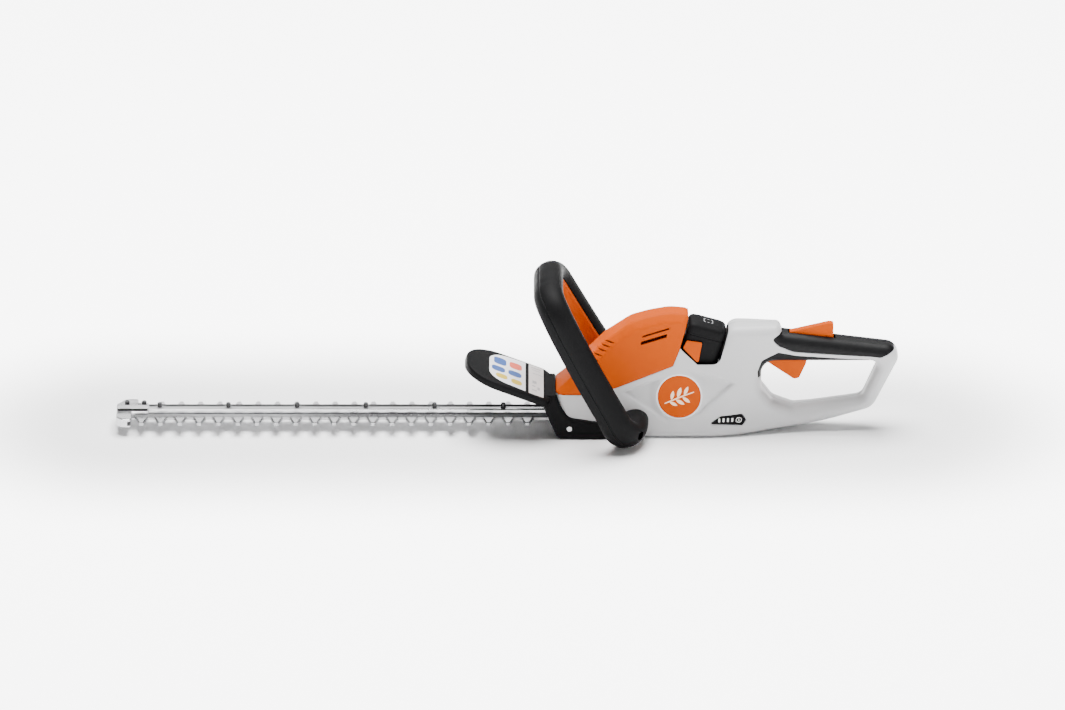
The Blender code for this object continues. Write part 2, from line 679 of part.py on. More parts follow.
def make_drive(colours):
    low, high = GEAR_Z
    crank = extruded("crank_gear", gear_outline(GEAR_TEETH, (CRANK_X, 0)), low, high, "XY", colours["steel"])
    shaft = turned("join_crank_shaft", [(0, 6.5), (4, 6.5), (4, 34), (0, 34)], (CRANK_X, 0, 0), (0, 0, 1))
    lower = turned("join_lower_eccentric", [(0, 12.6), (ECCENTRIC_RADIUS, 12.6), (ECCENTRIC_RADIUS, 15.15),
                   (0, 15.15)], (CRANK_X - BLADE_STROKE, 0, 0), (0, 0, 1))
    upper = turned("join_upper_eccentric", [(0, 15.14), (ECCENTRIC_RADIUS, 15.14), (ECCENTRIC_RADIUS, 19.5),
                   (0, 19.5)], (CRANK_X + BLADE_STROKE, 0, 0), (0, 0, 1))
    join(crank, tool(shaft), tool(lower), tool(upper))

    phase = math.pi + math.pi / PINION_TEETH
    rotor = extruded("motor_rotor", gear_outline(PINION_TEETH, (MOTOR_X, 0), phase), low, high, "XY",
                     colours["steel"])
    core = [(0, high - 2), (2, high - 2), (2, 40), (13, 40), (13, 84), (2, 84), (2, 90), (0, 90)]
    join(rotor, tool(turned("join_rotor_core", core, (MOTOR_X, 0, 0), (0, 0, 1))))
    can = [(5, 33.5), (19, 33.5), (19, 95), (5, 95), (5, 92.5), (16.5, 92.5), (16.5, 36), (5, 36)]
    turned("motor_can", can, (MOTOR_X, 0, 0), (0, 0, 1), colours["steel"], 28)

    base = box("gearcase_base", (-84, -25, 3.2), (-12, 25, 5.6), colours["aluminium"])
    boss = [(4.6, 4), (9, 4), (9, 11.8), (4.6, 11.8)]
    join(base, tool(turned("join_base_boss", boss, (CRANK_X, 0, 0), (0, 0, 1))))
    bore = [(0, 6), (4.6, 6), (4.6, 14), (0, 14)]
    cut(base, tool(turned("cut_base_bore", bore, (CRANK_X, 0, 0), (0, 0, 1))))
    flat = [rectangle(-97, -28, -12, 28), circle(4.6, 24, (CRANK_X, 0)), circle(5.5, 24, (MOTOR_X, 0))]
    cover = extruded("gearcase_cover", flat, 30.5, 33.0, "XY", colours["aluminium"])
    for x in (-88, -17):
        for y in (-25, 25):
            post = turned("join_post_%d_%d" % (x, y), [(0, 9), (2.3, 9), (2.3, 31), (0, 31)],
                          (x, y, 0), (0, 0, 1), None, 12)
            join(cover, tool(post))

    box("control_board", (10, -24, 13), (92, 24, 14.6), colours["board"])
    place = battery_frame()
    box("terminal_block", (-14, -13, -8), (14, 13, -0.8), colours["black"], place)


# ---------------------------------------------------------------- blades

def blade_outline():
    """Half-outline of a blade seen from above, for y > 0, from the tip to the tail."""
    edge = [(FIRST_TOOTH_X - 9, 10)]
    for i in range(TOOTH_COUNT):
        x = FIRST_TOOTH_X + TOOTH_PITCH * i
        edge.append((x - TOOTH_ROOT, BLADE_HALF_WIDTH))
        edge.append((x - TOOTH_TIP, TOOTH_TIP_Y))
        edge.append((x + TOOTH_TIP, TOOTH_TIP_Y))
        edge.append((x + TOOTH_ROOT, BLADE_HALF_WIDTH))
    edge.append((-118, BLADE_HALF_WIDTH))
    edge.append((CRANK_X - YOKE_HALF_LENGTH, BLADE_HALF_WIDTH))
    edge.append((CRANK_X - YOKE_SHOULDER, YOKE_HALF_WIDTH))
    edge.append((CRANK_X + YOKE_HALF_LENGTH, YOKE_HALF_WIDTH))
    return edge


def slot_outline(x, length, width):
    half = length / 2
    end = width / 2
    return rounded([(x - half, -end, end), (x + half, -end, end), (x + half, end, end),
                    (x - half, end, end)], 45)


def make_blades(colours):
    half = blade_outline()
    outline = half + [(x, -y) for x, y in reversed(half)]
    outline.reverse()
    reach, side = YOKE_WINDOW
    window = rounded([(CRANK_X - reach, -side, 3), (CRANK_X + reach, -side, 3), (CRANK_X + reach, side, 3),
                      (CRANK_X - reach, side, 3)])
    slots = [[(x, y + BAR_BOLT_Y) for x, y in slot_outline(at, 17.5, 5.2)] for at in BAR_BOLT_X]
    for name, base in (("lower_blade", LOWER_BLADE_Z), ("upper_blade", UPPER_BLADE_Z)):
        extruded(name, [outline, window] + slots, base, base + BLADE_THICKNESS, "XY", colours["steel"])

    holes = [circle(2.3, 8, (x, BAR_BOLT_Y)) for x in BAR_BOLT_X]
    near, far = BAR_SIDES
    strip = rectangle(BAR_ENDS[0], near, BAR_ENDS[1], far)
    bar = extruded("guide_bar", [strip] + holes, BAR_BOTTOM_Z, BAR_TOP_Z, "XY", colours["steel"])
    rim_side, rim_top = BAR_RIM
    join(bar, tool(box("join_bar_rim", (BAR_ENDS[0], rim_side, BAR_TOP_Z - 1), (BAR_ENDS[1], far, rim_top))))
    for index, x in enumerate(BAR_BOLT_X):
        bolt = [(0, 27), (2.2, 27), (2.6, 26.4), (2.6, 22.3), (2.0, 22.3), (2.0, 12.4), (4.4, 12.4),
                (4.4, 10), (0, 10)]
        turned("bar_bolt_%d" % (index + 1), bolt, (x, BAR_BOLT_Y, 0), (0, 0, 1), colours["steel"], 8)

    low, high = TIP_GUARD_Z
    tip = extruded("tip_guard", rounded(TIP_GUARD_OUTLINE), low, high, "XY", colours["steel"])
    ridge_near, ridge_far, ridge_top = TIP_RIDGE
    join(tip, tool(box("join_tip_ridge", (-609, ridge_near, high - 1), (-573, ridge_far, ridge_top))))
    cut(tip, tool(box("cut_tip_slot", (-596, -40, 12.6), (-560, 40, 17.7))))
    for index, (x, y) in enumerate(TIP_BOLTS):
        bolt = [(0, 26), (2.2, 26), (2.8, 25.4), (2.8, high + GAP), (0, high + GAP)]
        turned("tip_bolt_%d" % (index + 1), bolt, (x, y, 0), (0, 0, 1), colours["steel"], 16)


# ---------------------------------------------------------------- hand guard

def make_hand_guard(guides, colours):
    outline = rounded(BASE_OUTLINE)
    guard = pillow("hand_guard", outline, [], 0.0, extra_width=BASE_THICKNESS, surface=colours["black"])
    cut(guard, guides["clear"])
    lean = Matrix.Rotation(math.radians(GUARD_SLOPE), 4, "Y")
    place = Matrix.Translation(Vector((GUARD_ROOT[0], 0, GUARD_ROOT[1])) * MM) @ lean
    half = GUARD_HALF_WIDTH
    plate = rounded([(9, -half, 14), (9, half, 14), (-GUARD_LENGTH, half, 40),
                     (-GUARD_LENGTH, -half, 40)], 12)
    tray = extruded("join_guard_plate", plate, -7.5, 1.5, "XY", place=place)
    hollow = extruded("cut_guard_plate", moved_in(plate, 2.6), -10, -1.5, "XY", place=place)
    cut(tray, tool(hollow))
    join(guard, tool(tray))
    cut(guard, tool(box("cut_guard_slot", (-135, -18, 11.5), (-60, 18, 24))))
    for tag, side in (("left", -1), ("right", 1)):
        x, z = GUARD_SCREW
        y = side * (float(half_width(x, z)) + BASE_THICKNESS)
        sunk = [(0, 3), (3.6, 3), (3.6, -1.5), (2.1, -1.5), (2.1, -6), (0, -6)]
        hole = turned("cut_guard_screw_" + tag, sunk, (x, y, z), (0, side, 0), None, 16)
        cut(guard, tool(hole))
        turned("guard_screw_" + tag, [(0, 0.3), (3.2, 0.3), (3.2, -1.2), (1.7, -1.2), (1.7, -2.4), (0, -2.4)],
               (x, y, z), (0, side, 0), colours["steel"], 16)


# ---------------------------------------------------------------- bow handle

def bow_line(count):
    """Centre line of the whole bow as a smooth curve, from the left foot to the right foot."""
    left = [Vector((x, -y, z)) for x, y, z in BOW_PATH]
    right = [Vector((x, y, z)) for x, y, z in reversed(BOW_PATH[:-1])]
    knots = left + right
    lengths = [0.0]
    for a, b in zip(knots, knots[1:]):
        lengths.append(lengths[-1] + (b - a).length)
    line = []
    for k in range(count):
        at = lengths[-1] * k / (count - 1)
        i = max(0, min(len(knots) - 2, next((j for j in range(len(lengths) - 1) if lengths[j + 1] >= at), 0)))
        t = (at - lengths[i]) / (lengths[i + 1] - lengths[i])
        p1 = knots[i]
        p2 = knots[i + 1]
        p0 = knots[i - 1] if i > 0 else p1 * 2 - p2
        p3 = knots[i + 2] if i + 2 < len(knots) else p2 * 2 - p1
        point = 0.5 * (2 * p1 + (p2 - p0) * t + (2 * p0 - 5 * p1 + 4 * p2 - p3) * t ** 2
                       + (3 * p1 - p0 - 3 * p2 + p3) * t ** 3)
        line.append(point)
    return line


def bow_sections(shape, line, first=0, last=None):
    """Sections along the bow; shape gives points (forwards, inwards) for a size factor."""
    lean = math.radians(BOW_LEAN)
    front = Vector((-math.cos(lean), 0, -math.sin(lean)))
    middle = Vector((-70, 0, 95))
    last = len(line) - 1 if last is None else last
    sections = []
    for i in range(first, last + 1):
        ahead = (line[min(i + 1, len(line) - 1)] - line[max(i - 1, 0)]).normalized()
        forward = (front - ahead * front.dot(ahead)).normalized()
        inward = forward.cross(ahead)
        if inward.dot(middle - line[i]) < 0:
            inward = -inward
        foot = min(i, len(line) - 1 - i)
        size = 1.0 + 0.16 * max(0.0, 1 - foot / 5.0)
        sections.append([line[i] + forward * f + inward * s for f, s in shape(size)])
    return sections


def tube_part(lower, upper, size, steps=9):
    """C-shaped part of the tube wall whose forward coordinate runs from lower to upper."""
    a = BOW_FORE_AFT * size
    b = BOW_ACROSS * size
    ai = a - BOW_WALL
    bi = b - BOW_WALL
    front_part = upper >= a
    limit = lower if front_part else upper
    outer_end = math.acos(max(-1.0, min(1.0, limit / a)))
    inner_end = math.acos(max(-1.0, min(1.0, limit / ai)))
    outer = []
    inner = []
    for k in range(steps + 1):
        t = -1 + 2 * k / steps
        if front_part:
            outer.append((a * math.cos(t * outer_end), b * math.sin(t * outer_end)))
            inner.append((ai * math.cos(t * inner_end), bi * math.sin(t * inner_end)))
        else:
            po = math.pi + t * (math.pi - outer_end)
            pi = math.pi + t * (math.pi - inner_end)
            outer.append((a * math.cos(po), b * math.sin(po)))
            inner.append((ai * math.cos(pi), bi * math.sin(pi)))
    return outer + inner[::-1]


def make_bow(guides, colours):
    line = bow_line(BOW_STATIONS)
    far = 99.0
    front_from = BOW_SEAM + BOW_SEAM_GAP / 2
    rear_to = BOW_SEAM - BOW_SEAM_GAP / 2
    front = swept("bow_front_shell", bow_sections(lambda s: tube_part(front_from, far, s, 5), line),
                  colours["black"])
    rear = swept("bow_rear_shell", bow_sections(lambda s: tube_part(-far, rear_to, s, 9), line),
                 colours["black"])
    bar_first = SWITCH_BAR_STATIONS[0]
    bar_last = SWITCH_BAR_STATIONS[1]
    channel = swept("cut_switch_channel", bow_sections(
        lambda s: [(-10.2, 4.6), (-10.2, 22), (12.2, 22), (12.2, 4.6)], line, bar_first - 1, bar_last + 1))
    tool(channel)
    for shell in (front, rear):
        cut(shell, guides["clear"], channel)
    swept("switch_bar", bow_sections(
        lambda s: SWITCH_BAR_SECTION, line, bar_first, bar_last), colours["orange"])
    x, z = BOW_SCREW
    for tag, side in (("left", -1), ("right", 1)):
        start = float(half_width(x, z)) - WALL - 3
        turned("bow_screw_" + tag, [(0, 0), (4, 0), (4, 2.4), (1.9, 2.4), (1.9, 22), (0, 22)],
               (x, side * start, z), (0, side, 0), colours["steel"], 14)
    lean = math.radians(BOW_LEAN)
    centre = Vector((-116, 0, 175)) * MM
    place = Matrix.Translation(centre) @ Matrix.Rotation(-lean, 4, "Y")
    box("bow_switch", (-9, -9, -3.6), (5, 9, 6.5), colours["black"], place)


def main():
    clear_scene()
    colours = {
        "white": material("housing_white", (0.60, 0.60, 0.61), 0.45),
        "orange": material("signal_orange", (0.85, 0.17, 0.01), 0.4),
        "black": material("moulded_black", (0.028, 0.028, 0.030), 0.55),
        "steel": material("ground_steel", (0.55, 0.55, 0.56), 0.35, 1.0),
        "aluminium": material("cast_aluminium", (0.5, 0.5, 0.5), 0.5, 1.0),
        "pale": material("light_window", (0.75, 0.75, 0.72), 0.3),
        "board": material("circuit_board", (0.02, 0.12, 0.05), 0.5),
    }
    guides = housing_bodies()
    housings = make_shells(guides, colours)
    housing_screws(housings, colours)
    x, z = BOW_SCREW
    for tag, side in (("left", -1), ("right", 1)):
        start = float(half_width(x, z)) - WALL - 3
        hole = turned("cut_bow_screw_" + tag, [(0, -4), (2.4, -4), (2.4, 12), (0, 12)],
                      (x, side * start, z), (0, side, 0), None, 14)
        cut(housings[tag], tool(hole))
    make_side_pieces(colours)
    make_battery(colours)
    make_controls(colours)
    make_drive(colours)
    make_blades(colours)
    make_hand_guard(guides, colours)
    make_bow(guides, colours)


main()
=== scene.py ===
"""The looks of the cordless hedge trimmer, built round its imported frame.

Lengths are in millimetres until a mesh is made. +X points to the rear handle, -Y is the
left side, +Z is up, and the origin is the centre of the housing's underside.
"""
import json
import math

import bmesh
import bpy
import numpy as np
from mathutils import Matrix, Vector
from mathutils.geometry import delaunay_2d_cdt


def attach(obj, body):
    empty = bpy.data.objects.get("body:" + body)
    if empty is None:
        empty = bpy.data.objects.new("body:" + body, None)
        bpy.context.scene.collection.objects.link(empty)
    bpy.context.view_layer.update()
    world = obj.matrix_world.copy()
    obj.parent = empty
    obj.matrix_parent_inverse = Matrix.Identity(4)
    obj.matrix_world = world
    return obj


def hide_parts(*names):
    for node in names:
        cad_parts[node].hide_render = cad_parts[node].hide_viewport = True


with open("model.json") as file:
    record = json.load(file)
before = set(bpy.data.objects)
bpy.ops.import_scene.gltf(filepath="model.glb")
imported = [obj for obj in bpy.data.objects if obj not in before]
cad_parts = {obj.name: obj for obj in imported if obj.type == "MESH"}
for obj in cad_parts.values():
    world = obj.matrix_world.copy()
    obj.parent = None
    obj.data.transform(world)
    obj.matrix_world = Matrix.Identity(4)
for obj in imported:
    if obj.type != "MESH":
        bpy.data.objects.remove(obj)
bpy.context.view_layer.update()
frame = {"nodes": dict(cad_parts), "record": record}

MM = 0.001

# camera: the point it looks at and its distance, in metres, and how far it looks down, in degrees
VIEW_TARGET = (-0.134, 0, 0.0873)
VIEW_DISTANCE = 9.98
VIEW_PITCH = 22
VIEW_LENS = 296

# studio lights, in metres: place, target, width, height, and power in watts
LIGHTS = {
    "key_light": ((-0.2, 0.6, 3.0), (-0.15, 0, 0.0), 2.4, 2.4, 400),
    "front_fill": ((-0.4, -3.0, 2.4), (-0.1, 0, 0.08), 2.6, 2.6, 6),
    "side_fill": ((1.6, -1.6, 1.0), (0.15, 0, 0.08), 1.2, 1.2, 16),
    "horizon": ((-0.2, 4.6, 1.9), (-0.1, 0, 0.08), 4.5, 1.2, 40),
}
WORLD_STRENGTH = 0.05

# floor, in metres: it glows from a distance around the tool, so that the shadow stays under it
FLOOR_HALF = 6.0
GLOW_LINE = (-0.165, 0.42)     # middle and half length, along X, of the line to measure from
GLOW_RISE = (0.08, 0.32)       # distances from the line between which the glow rises
GLOW = 4.6

# housing: side outline in the XZ plane, as corners (x, z, corner radius)
HOUSING_OUTLINE = [
    (-90, 0, 10), (100, 0, 200), (197, 9.5, 160), (254, 27, 20), (290, 100.7, 15),
    (150, 118, 0), (147, 127.5, 9), (89.3, 127.5, 15), (82, 108, 0), (52, 112, 0),
    (43.4, 141.6, 8), (22, 144, 40),
    (-1, 139.5, 30), (-22, 133, 30), (-51, 112, 30), (-94, 65, 14), (-108, 53, 4), (-101, 22, 20),
]
HAND_OPENING = [
    (126.5, 84, 13), (126.5, 52, 10), (140, 34.5, 12), (163, 27, 16), (241, 38.5, 12), (260.5, 84, 6),
]
BODY_HALF_WIDTH = 39.5
BODY_DRAFT = 0.155
HANDLE_HALF_WIDTH = 17.5
HANDLE_EDGE_RADIUS = 12.0
NARROWING = (100, 150)
LOW_NARROWING = (55, 210)
NARROWING_HEIGHTS = (10, 70)
HOOD_REGION = [
    (-115, 50.5, 0), (-77, 50.3, 4), (-41, 58, 6), (25.8, 84, 2), (34.2, 105.5, 0),
    (50, 107, 0), (60, 160, 0), (-115, 160, 0),
]
GRIP_REGION = [
    (138, 113, 3), (147, 104.5, 8), (163, 98, 10), (262, 90.5, 8), (277, 98, 4),
    (300, 112, 0), (300, 135, 0), (150, 135, 0), (150, 119.5, 1),
]
LINER_REGION = [
    (122.5, 75, 2), (127, 88, 4), (146, 97, 4), (165, 93, 8), (250, 86, 0),
    (250, 78, 0), (140, 70, 0), (131, 68, 0), (123, 68, 0),
]
PARTING_Y = 1.5
BATTERY_TILT = 15.5
BATTERY_FOOT = (42.4, 43.2)
BATTERY_SIZE = (44.5, 38.0, 88.0)
BATTERY_GAP = 0.8
BADGE_CENTRE = (33.0, 49.0)
BADGE_RADIUS = 24.5
PANEL_CENTRE = (89.5, 21.0)
LATCH_CENTRE = (46.0, 104.4)
SHELL = 2.2
SHELL_ANGLE = 42.0             # edges of the shells that turn by more than this stay sharp
LOCKOUT_SLOT = ((157, -5.5, 100), (211, 5.5, 135))
TRIGGER_SLOT = ((131.5, -6, 60), (190, 6, 99))
BLADE_MOUTH = ((-130, -18.5, 11), (-80, 18.5, 27))
HOOD_CHAMFER = (8.5, 6.0)      # width on the side, and how far it leans inwards

# blades
TOOTH_PITCH = 22.0
TOOTH_COUNT = 21
FIRST_TOOTH_X = -580.0
TOOTH_TIP_Y = 32.0
TOOTH_ROOT = 6.6               # half the tooth, along the blade, where it leaves the spine
TOOTH_TIP = 2.4                # and at its blunt tip
BLADE_HALF_WIDTH = 15.5
CRANK_X = -65.0
YOKE_HALF_LENGTH = 27.0
YOKE_SHOULDER = 19.0
YOKE_HALF_WIDTH = 21.0
YOKE_WINDOW = (21.4, 15.9)     # half length and half width
BAR_RIM = (7.3, 23.4)          # near side and top of the raised far edge
TIP_GUARD_HEIGHTS = (10.6, 20.4)
TIP_RIDGE = (-4.5, 5.0, 24.0)  # sides and top of the ridge that carries on the bar's line
BAR_BOLT_X = [-560.0 + 78.5 * i for i in range(6)]
BAR_BOLT_Y = 4.3
BAR_SIDES = (-6.0, 8.0)
BAR_ENDS = (-572.5, -98.5)
TIP_GUARD_OUTLINE = [
    (-609, -24, 6), (-602, -31, 7), (-592, -31, 3), (-592, -8, 1), (-573, -8, 1), (-573, 19, 2),
    (-585, 20, 1), (-585, 31, 3), (-600, 31, 7), (-605, 22, 3), (-609, 17, 3),
]
TIP_BOLTS = [(-597.5, 12.0), (-578.0, 12.0)]

# bow handle
BOW_PATH = [
    (-21, 30, 18), (-21, 42, 17.8), (-22, 56, 17.5), (-27, 70, 18.5), (-36, 79, 28),
    (-46, 80, 47), (-70, 73.5, 89), (-94, 65.5, 133), (-108, 57, 160), (-115, 40, 172),
    (-116, 20, 174.5), (-116, 0, 175),
]
BOW_LEAN = 28.0
BOW_FORE_AFT = 17.5
BOW_ACROSS = 13.5
BOW_WALL = 2.6
BOW_SEAM = 5.8

# controls
TRIGGER_PIVOT = (137.0, 97.0)
LOCKOUT_PIVOT = (164.0, 105.0)
HOUSING_SCREWS = [(-62, 44), (8, 22), (72, 40), (118, 112), (222, 26.5)]

# hand guard
GUARD_ROOT = (-121.0, 50.5)
GUARD_SLOPE = 21.0
GUARD_LENGTH = 94.0
GUARD_HALF_WIDTH = 48.0
BASE_OUTLINE = [
    (-122, 51.5, 2), (-120, 33, 10), (-107, 5, 4), (-103, 1.2, 3), (-47, 1.2, 0), (-47, 18, 2),
    (-93, 25, 14), (-101, 36, 10), (-108.6, 51.5, 0),
]
BASE_THICKNESS = 2.8
GUARD_SCREW = (-92.0, 12.5)
PLATE_TOP = 1.3                # heights above the guard's own plane
STICKER_TOP = 1.42
PRINT_TOP = 1.5


# ---------------------------------------------------------------- camera, lights and floor

def make_camera():
    data = bpy.data.cameras.new("camera")
    data.lens = VIEW_LENS
    data.sensor_width = 36
    data.clip_end = 100
    camera = bpy.data.objects.new("camera", data)
    bpy.context.scene.collection.objects.link(camera)
    target = Vector(VIEW_TARGET)
    up = math.radians(VIEW_PITCH)
    camera.location = target + Vector((0, -math.cos(up), math.sin(up))) * VIEW_DISTANCE
    camera.rotation_euler = (target - camera.location).to_track_quat("-Z", "Y").to_euler()
    bpy.context.scene.camera = camera


def area_light(name, place, target, width, height, power):
    data = bpy.data.lights.new(name, "AREA")
    data.shape = "RECTANGLE"
    data.size = width
    data.size_y = height
    data.energy = power
    light = bpy.data.objects.new(name, data)
    bpy.context.scene.collection.objects.link(light)
    light.location = place
    light.rotation_euler = (Vector(target) - Vector(place)).to_track_quat("-Z", "Y").to_euler()


def floor_paper():
    """Pale paper that glows further from the tool."""
    surface = bpy.data.materials.new("floor_paper")
    surface.use_nodes = True
    tree = surface.node_tree
    shader = tree.nodes["Principled BSDF"]
    shader.inputs["Base Color"].default_value = (0.93, 0.93, 0.93, 1)
    shader.inputs["Roughness"].default_value = 0.7
    shader.inputs["Emission Color"].default_value = (1, 1, 1, 1)
    vector = tree.nodes.new("ShaderNodeTexCoord").outputs["Object"]
    middle, half = GLOW_LINE
    for operation, amount in (("ADD", (-middle, 0, 0)), ("ABSOLUTE", None), ("SUBTRACT", (half, 0, 0)),
                              ("MAXIMUM", (0, 0, 0)), ("LENGTH", None)):
        step = tree.nodes.new("ShaderNodeVectorMath")
        step.operation = operation
        tree.links.new(vector, step.inputs[0])
        if amount:
            step.inputs[1].default_value = amount
        vector = step.outputs["Value" if operation == "LENGTH" else "Vector"]
    glow = tree.nodes.new("ShaderNodeMapRange")
    glow.interpolation_type = "SMOOTHSTEP"
    glow.inputs["From Min"].default_value = GLOW_RISE[0]
    glow.inputs["From Max"].default_value = GLOW_RISE[1]
    glow.inputs["To Min"].default_value = 0.0
    glow.inputs["To Max"].default_value = GLOW
    tree.links.new(vector, glow.inputs["Value"])
    tree.links.new(glow.outputs["Result"], shader.inputs["Emission Strength"])
    return surface


def make_studio():
    for name, light in LIGHTS.items():
        area_light(name, *light)
    world = bpy.data.worlds.new("studio")
    world.use_nodes = True
    background = world.node_tree.nodes["Background"]
    background.inputs["Color"].default_value = (1.0, 1.0, 1.0, 1)
    background.inputs["Strength"].default_value = WORLD_STRENGTH
    bpy.context.scene.world = world
    mesh = bpy.data.meshes.new("floor")
    corners = rectangle(-FLOOR_HALF, -FLOOR_HALF, FLOOR_HALF, FLOOR_HALF)
    mesh.from_pydata([(x, y, 0) for x, y in corners], [], [(0, 1, 2, 3)])
    mesh.materials.append(floor_paper())
    floor = bpy.data.objects.new("floor", mesh)
    bpy.context.scene.collection.objects.link(floor)


# ---------------------------------------------------------------- materials

# colour, roughness, and what differs from the other defaults of node_material
MATERIALS = {
    "white_plastic": ((0.45, 0.45, 0.455), 0.42, dict(bump=0.07, mottle=0.015, specular=0.35)),
    "orange_plastic": ((0.42, 0.058, 0.0), 0.5, dict(bump=0.06, mottle=0.03, specular=0.04)),
    "black_plastic": ((0.005, 0.005, 0.0053), 0.55, dict(bump=0.12, mottle=0.12, specular=0.05)),
    "soft_grip": ((0.004, 0.004, 0.0043), 0.5, dict(grain=1400, bump=0.16, mottle=0.15, specular=0.12)),
    "steel": ((0.68, 0.68, 0.69), 0.30,
              dict(metallic=1.0, grain=220, bump=0.03, mottle=0.08, stretch=(0.25, 4, 1))),
    # dark steel for the bolt heads; also the painted shade on the guide bar's raised rim
    "dark_steel_and_painted_shade": ((0.07, 0.07, 0.072), 0.42, dict(metallic=0.7, grain=300, bump=0.05, mottle=0.2)),
    # painted shade: a near-black colour for the tooth grooves and the stem under the tip ridge, in place of
    # the shade inside them
    "groove": ((0.035, 0.035, 0.036), 0.6, dict(grain=400, bump=0.1, mottle=0.3)),
    "cast_aluminium": ((0.42, 0.42, 0.42), 0.5, dict(metallic=1.0, grain=500, bump=0.15)),
    "light_window": ((0.80, 0.80, 0.77), 0.25, dict(bump=0.01, mottle=0.03, coat=0.3)),
    "circuit_board": ((0.012, 0.09, 0.035), 0.4, dict(bump=0.05, mottle=0.2)),
    "label": ((0.72, 0.73, 0.75), 0.35, dict(bump=0.02, mottle=0.03)),
    "label_grey": ((0.60, 0.58, 0.57), 0.4, dict(bump=0.02, mottle=0.04)),
    "label_blue": ((0.02, 0.07, 0.25), 0.4, dict(bump=0.02, mottle=0.06)),
    "label_red": ((0.6, 0.09, 0.05), 0.4, dict(bump=0.02, mottle=0.06)),
    "label_yellow": ((0.5, 0.36, 0.01), 0.4, dict(bump=0.02, mottle=0.06)),
    "label_bar": ((0.33, 0.33, 0.34), 0.4, dict(bump=0.02, mottle=0.06)),
    "emblem": ((0.90, 0.62, 0.42), 0.35, dict(bump=0.02, mottle=0.03)),
    # the housing's rim round the badge, painted lighter than the white plastic as a highlight
    "badge_ring_painted_highlight": ((0.74, 0.74, 0.75), 0.3, dict(bump=0.02, mottle=0.02)),
    # painted shade: dark brown for the walls of the hood's vents and gills
    "vent_painted_shade": ((0.25, 0.025, 0.002), 0.6, dict(bump=0.05, mottle=0.1)),
}


def node_material(name, colour, roughness, metallic=0.0, grain=900.0, bump=0.05, mottle=0.06,
                  mottle_scale=18.0, rough_spread=0.08, coat=0.0, stretch=(1, 1, 1), specular=0.5):
    """A moulded or metal surface: fine grain as bump, soft colour mottling and uneven gloss."""
    surface = bpy.data.materials.new(name)
    surface.use_nodes = True
    tree = surface.node_tree
    nodes = tree.nodes
    link = tree.links.new
    shader = nodes["Principled BSDF"]
    shader.inputs["Metallic"].default_value = metallic
    shader.inputs["Coat Weight"].default_value = coat
    shader.inputs["Specular IOR Level"].default_value = specular
    place = nodes.new("ShaderNodeTexCoord")
    mapping = nodes.new("ShaderNodeMapping")
    mapping.inputs["Scale"].default_value = stretch
    link(place.outputs["Object"], mapping.inputs["Vector"])
    cloud = nodes.new("ShaderNodeTexNoise")
    cloud.inputs["Scale"].default_value = mottle_scale
    cloud.inputs["Detail"].default_value = 5
    link(mapping.outputs["Vector"], cloud.inputs["Vector"])
    tint = nodes.new("ShaderNodeValToRGB")
    dark = [max(0.0, c * (1 - mottle)) for c in colour]
    light = [min(1.0, c * (1 + mottle)) for c in colour]
    tint.color_ramp.elements[0].position = 0.35
    tint.color_ramp.elements[0].color = (*dark, 1)
    tint.color_ramp.elements[1].position = 0.65
    tint.color_ramp.elements[1].color = (*light, 1)
    link(cloud.outputs["Fac"], tint.inputs["Fac"])
    link(tint.outputs["Color"], shader.inputs["Base Color"])
    fine = nodes.new("ShaderNodeTexNoise")
    fine.inputs["Scale"].default_value = grain
    fine.inputs["Detail"].default_value = 3
    link(mapping.outputs["Vector"], fine.inputs["Vector"])
    gloss = nodes.new("ShaderNodeMapRange")
    gloss.inputs["From Min"].default_value = 0.3
    gloss.inputs["From Max"].default_value = 0.7
    gloss.inputs["To Min"].default_value = max(0.05, roughness - rough_spread)
    gloss.inputs["To Max"].default_value = min(1.0, roughness + rough_spread)
    link(cloud.outputs["Fac"], gloss.inputs["Value"])
    link(gloss.outputs["Result"], shader.inputs["Roughness"])
    relief = nodes.new("ShaderNodeBump")
    relief.inputs["Strength"].default_value = bump
    relief.inputs["Distance"].default_value = 0.001
    link(fine.outputs["Fac"], relief.inputs["Height"])
    link(relief.outputs["Normal"], shader.inputs["Normal"])
    return surface


def make_materials():
    return {name: node_material(name, colour, roughness, **detail)
            for name, (colour, roughness, detail) in MATERIALS.items()}


# ---------------------------------------------------------------- outlines

def area(loop):
    total = 0.0
    for (ax, ay), (bx, by) in zip(loop, loop[1:] + loop[:1]):
        total += ax * by - bx * ay
    return total / 2


def rounded(corners, step=8.0):
    """A closed anticlockwise outline whose corners (x, y, radius) are rounded."""
    loop = []
    count = len(corners)
    for i in range(count):
        here = Vector(corners[i][:2])
        before = Vector(corners[i - 1][:2]) - here
        after = Vector(corners[(i + 1) % count][:2]) - here
        radius = corners[i][2]
        turn = before.angle(after)
        if radius <= 0 or turn > math.radians(178):
            loop.append(tuple(here))
            continue
        reach = min(radius / math.tan(turn / 2), before.length * 0.49, after.length * 0.49)
        radius = reach * math.tan(turn / 2)
        halfway = (before.normalized() + after.normalized()).normalized()
        middle = here + halfway * (radius / math.sin(turn / 2))
        start = here + before.normalized() * reach - middle
        end = here + after.normalized() * reach - middle
        sweep = start.angle_signed(end)
        pieces = max(1, math.ceil(abs(math.degrees(sweep)) / step))
        for k in range(pieces + 1):
            point = middle + Matrix.Rotation(-sweep * k / pieces, 2) @ start
            loop.append(tuple(point))
    if area(loop) < 0:
        loop.reverse()
    return loop


def divided(loop, longest):
    """The same outline with points added, so that no edge is longer than this."""
    made = []
    for (ax, ay), (bx, by) in zip(loop, loop[1:] + loop[:1]):
        pieces = max(1, math.ceil(math.hypot(bx - ax, by - ay) / longest))
        for k in range(pieces):
            made.append((ax + (bx - ax) * k / pieces, ay + (by - ay) * k / pieces))
    return made


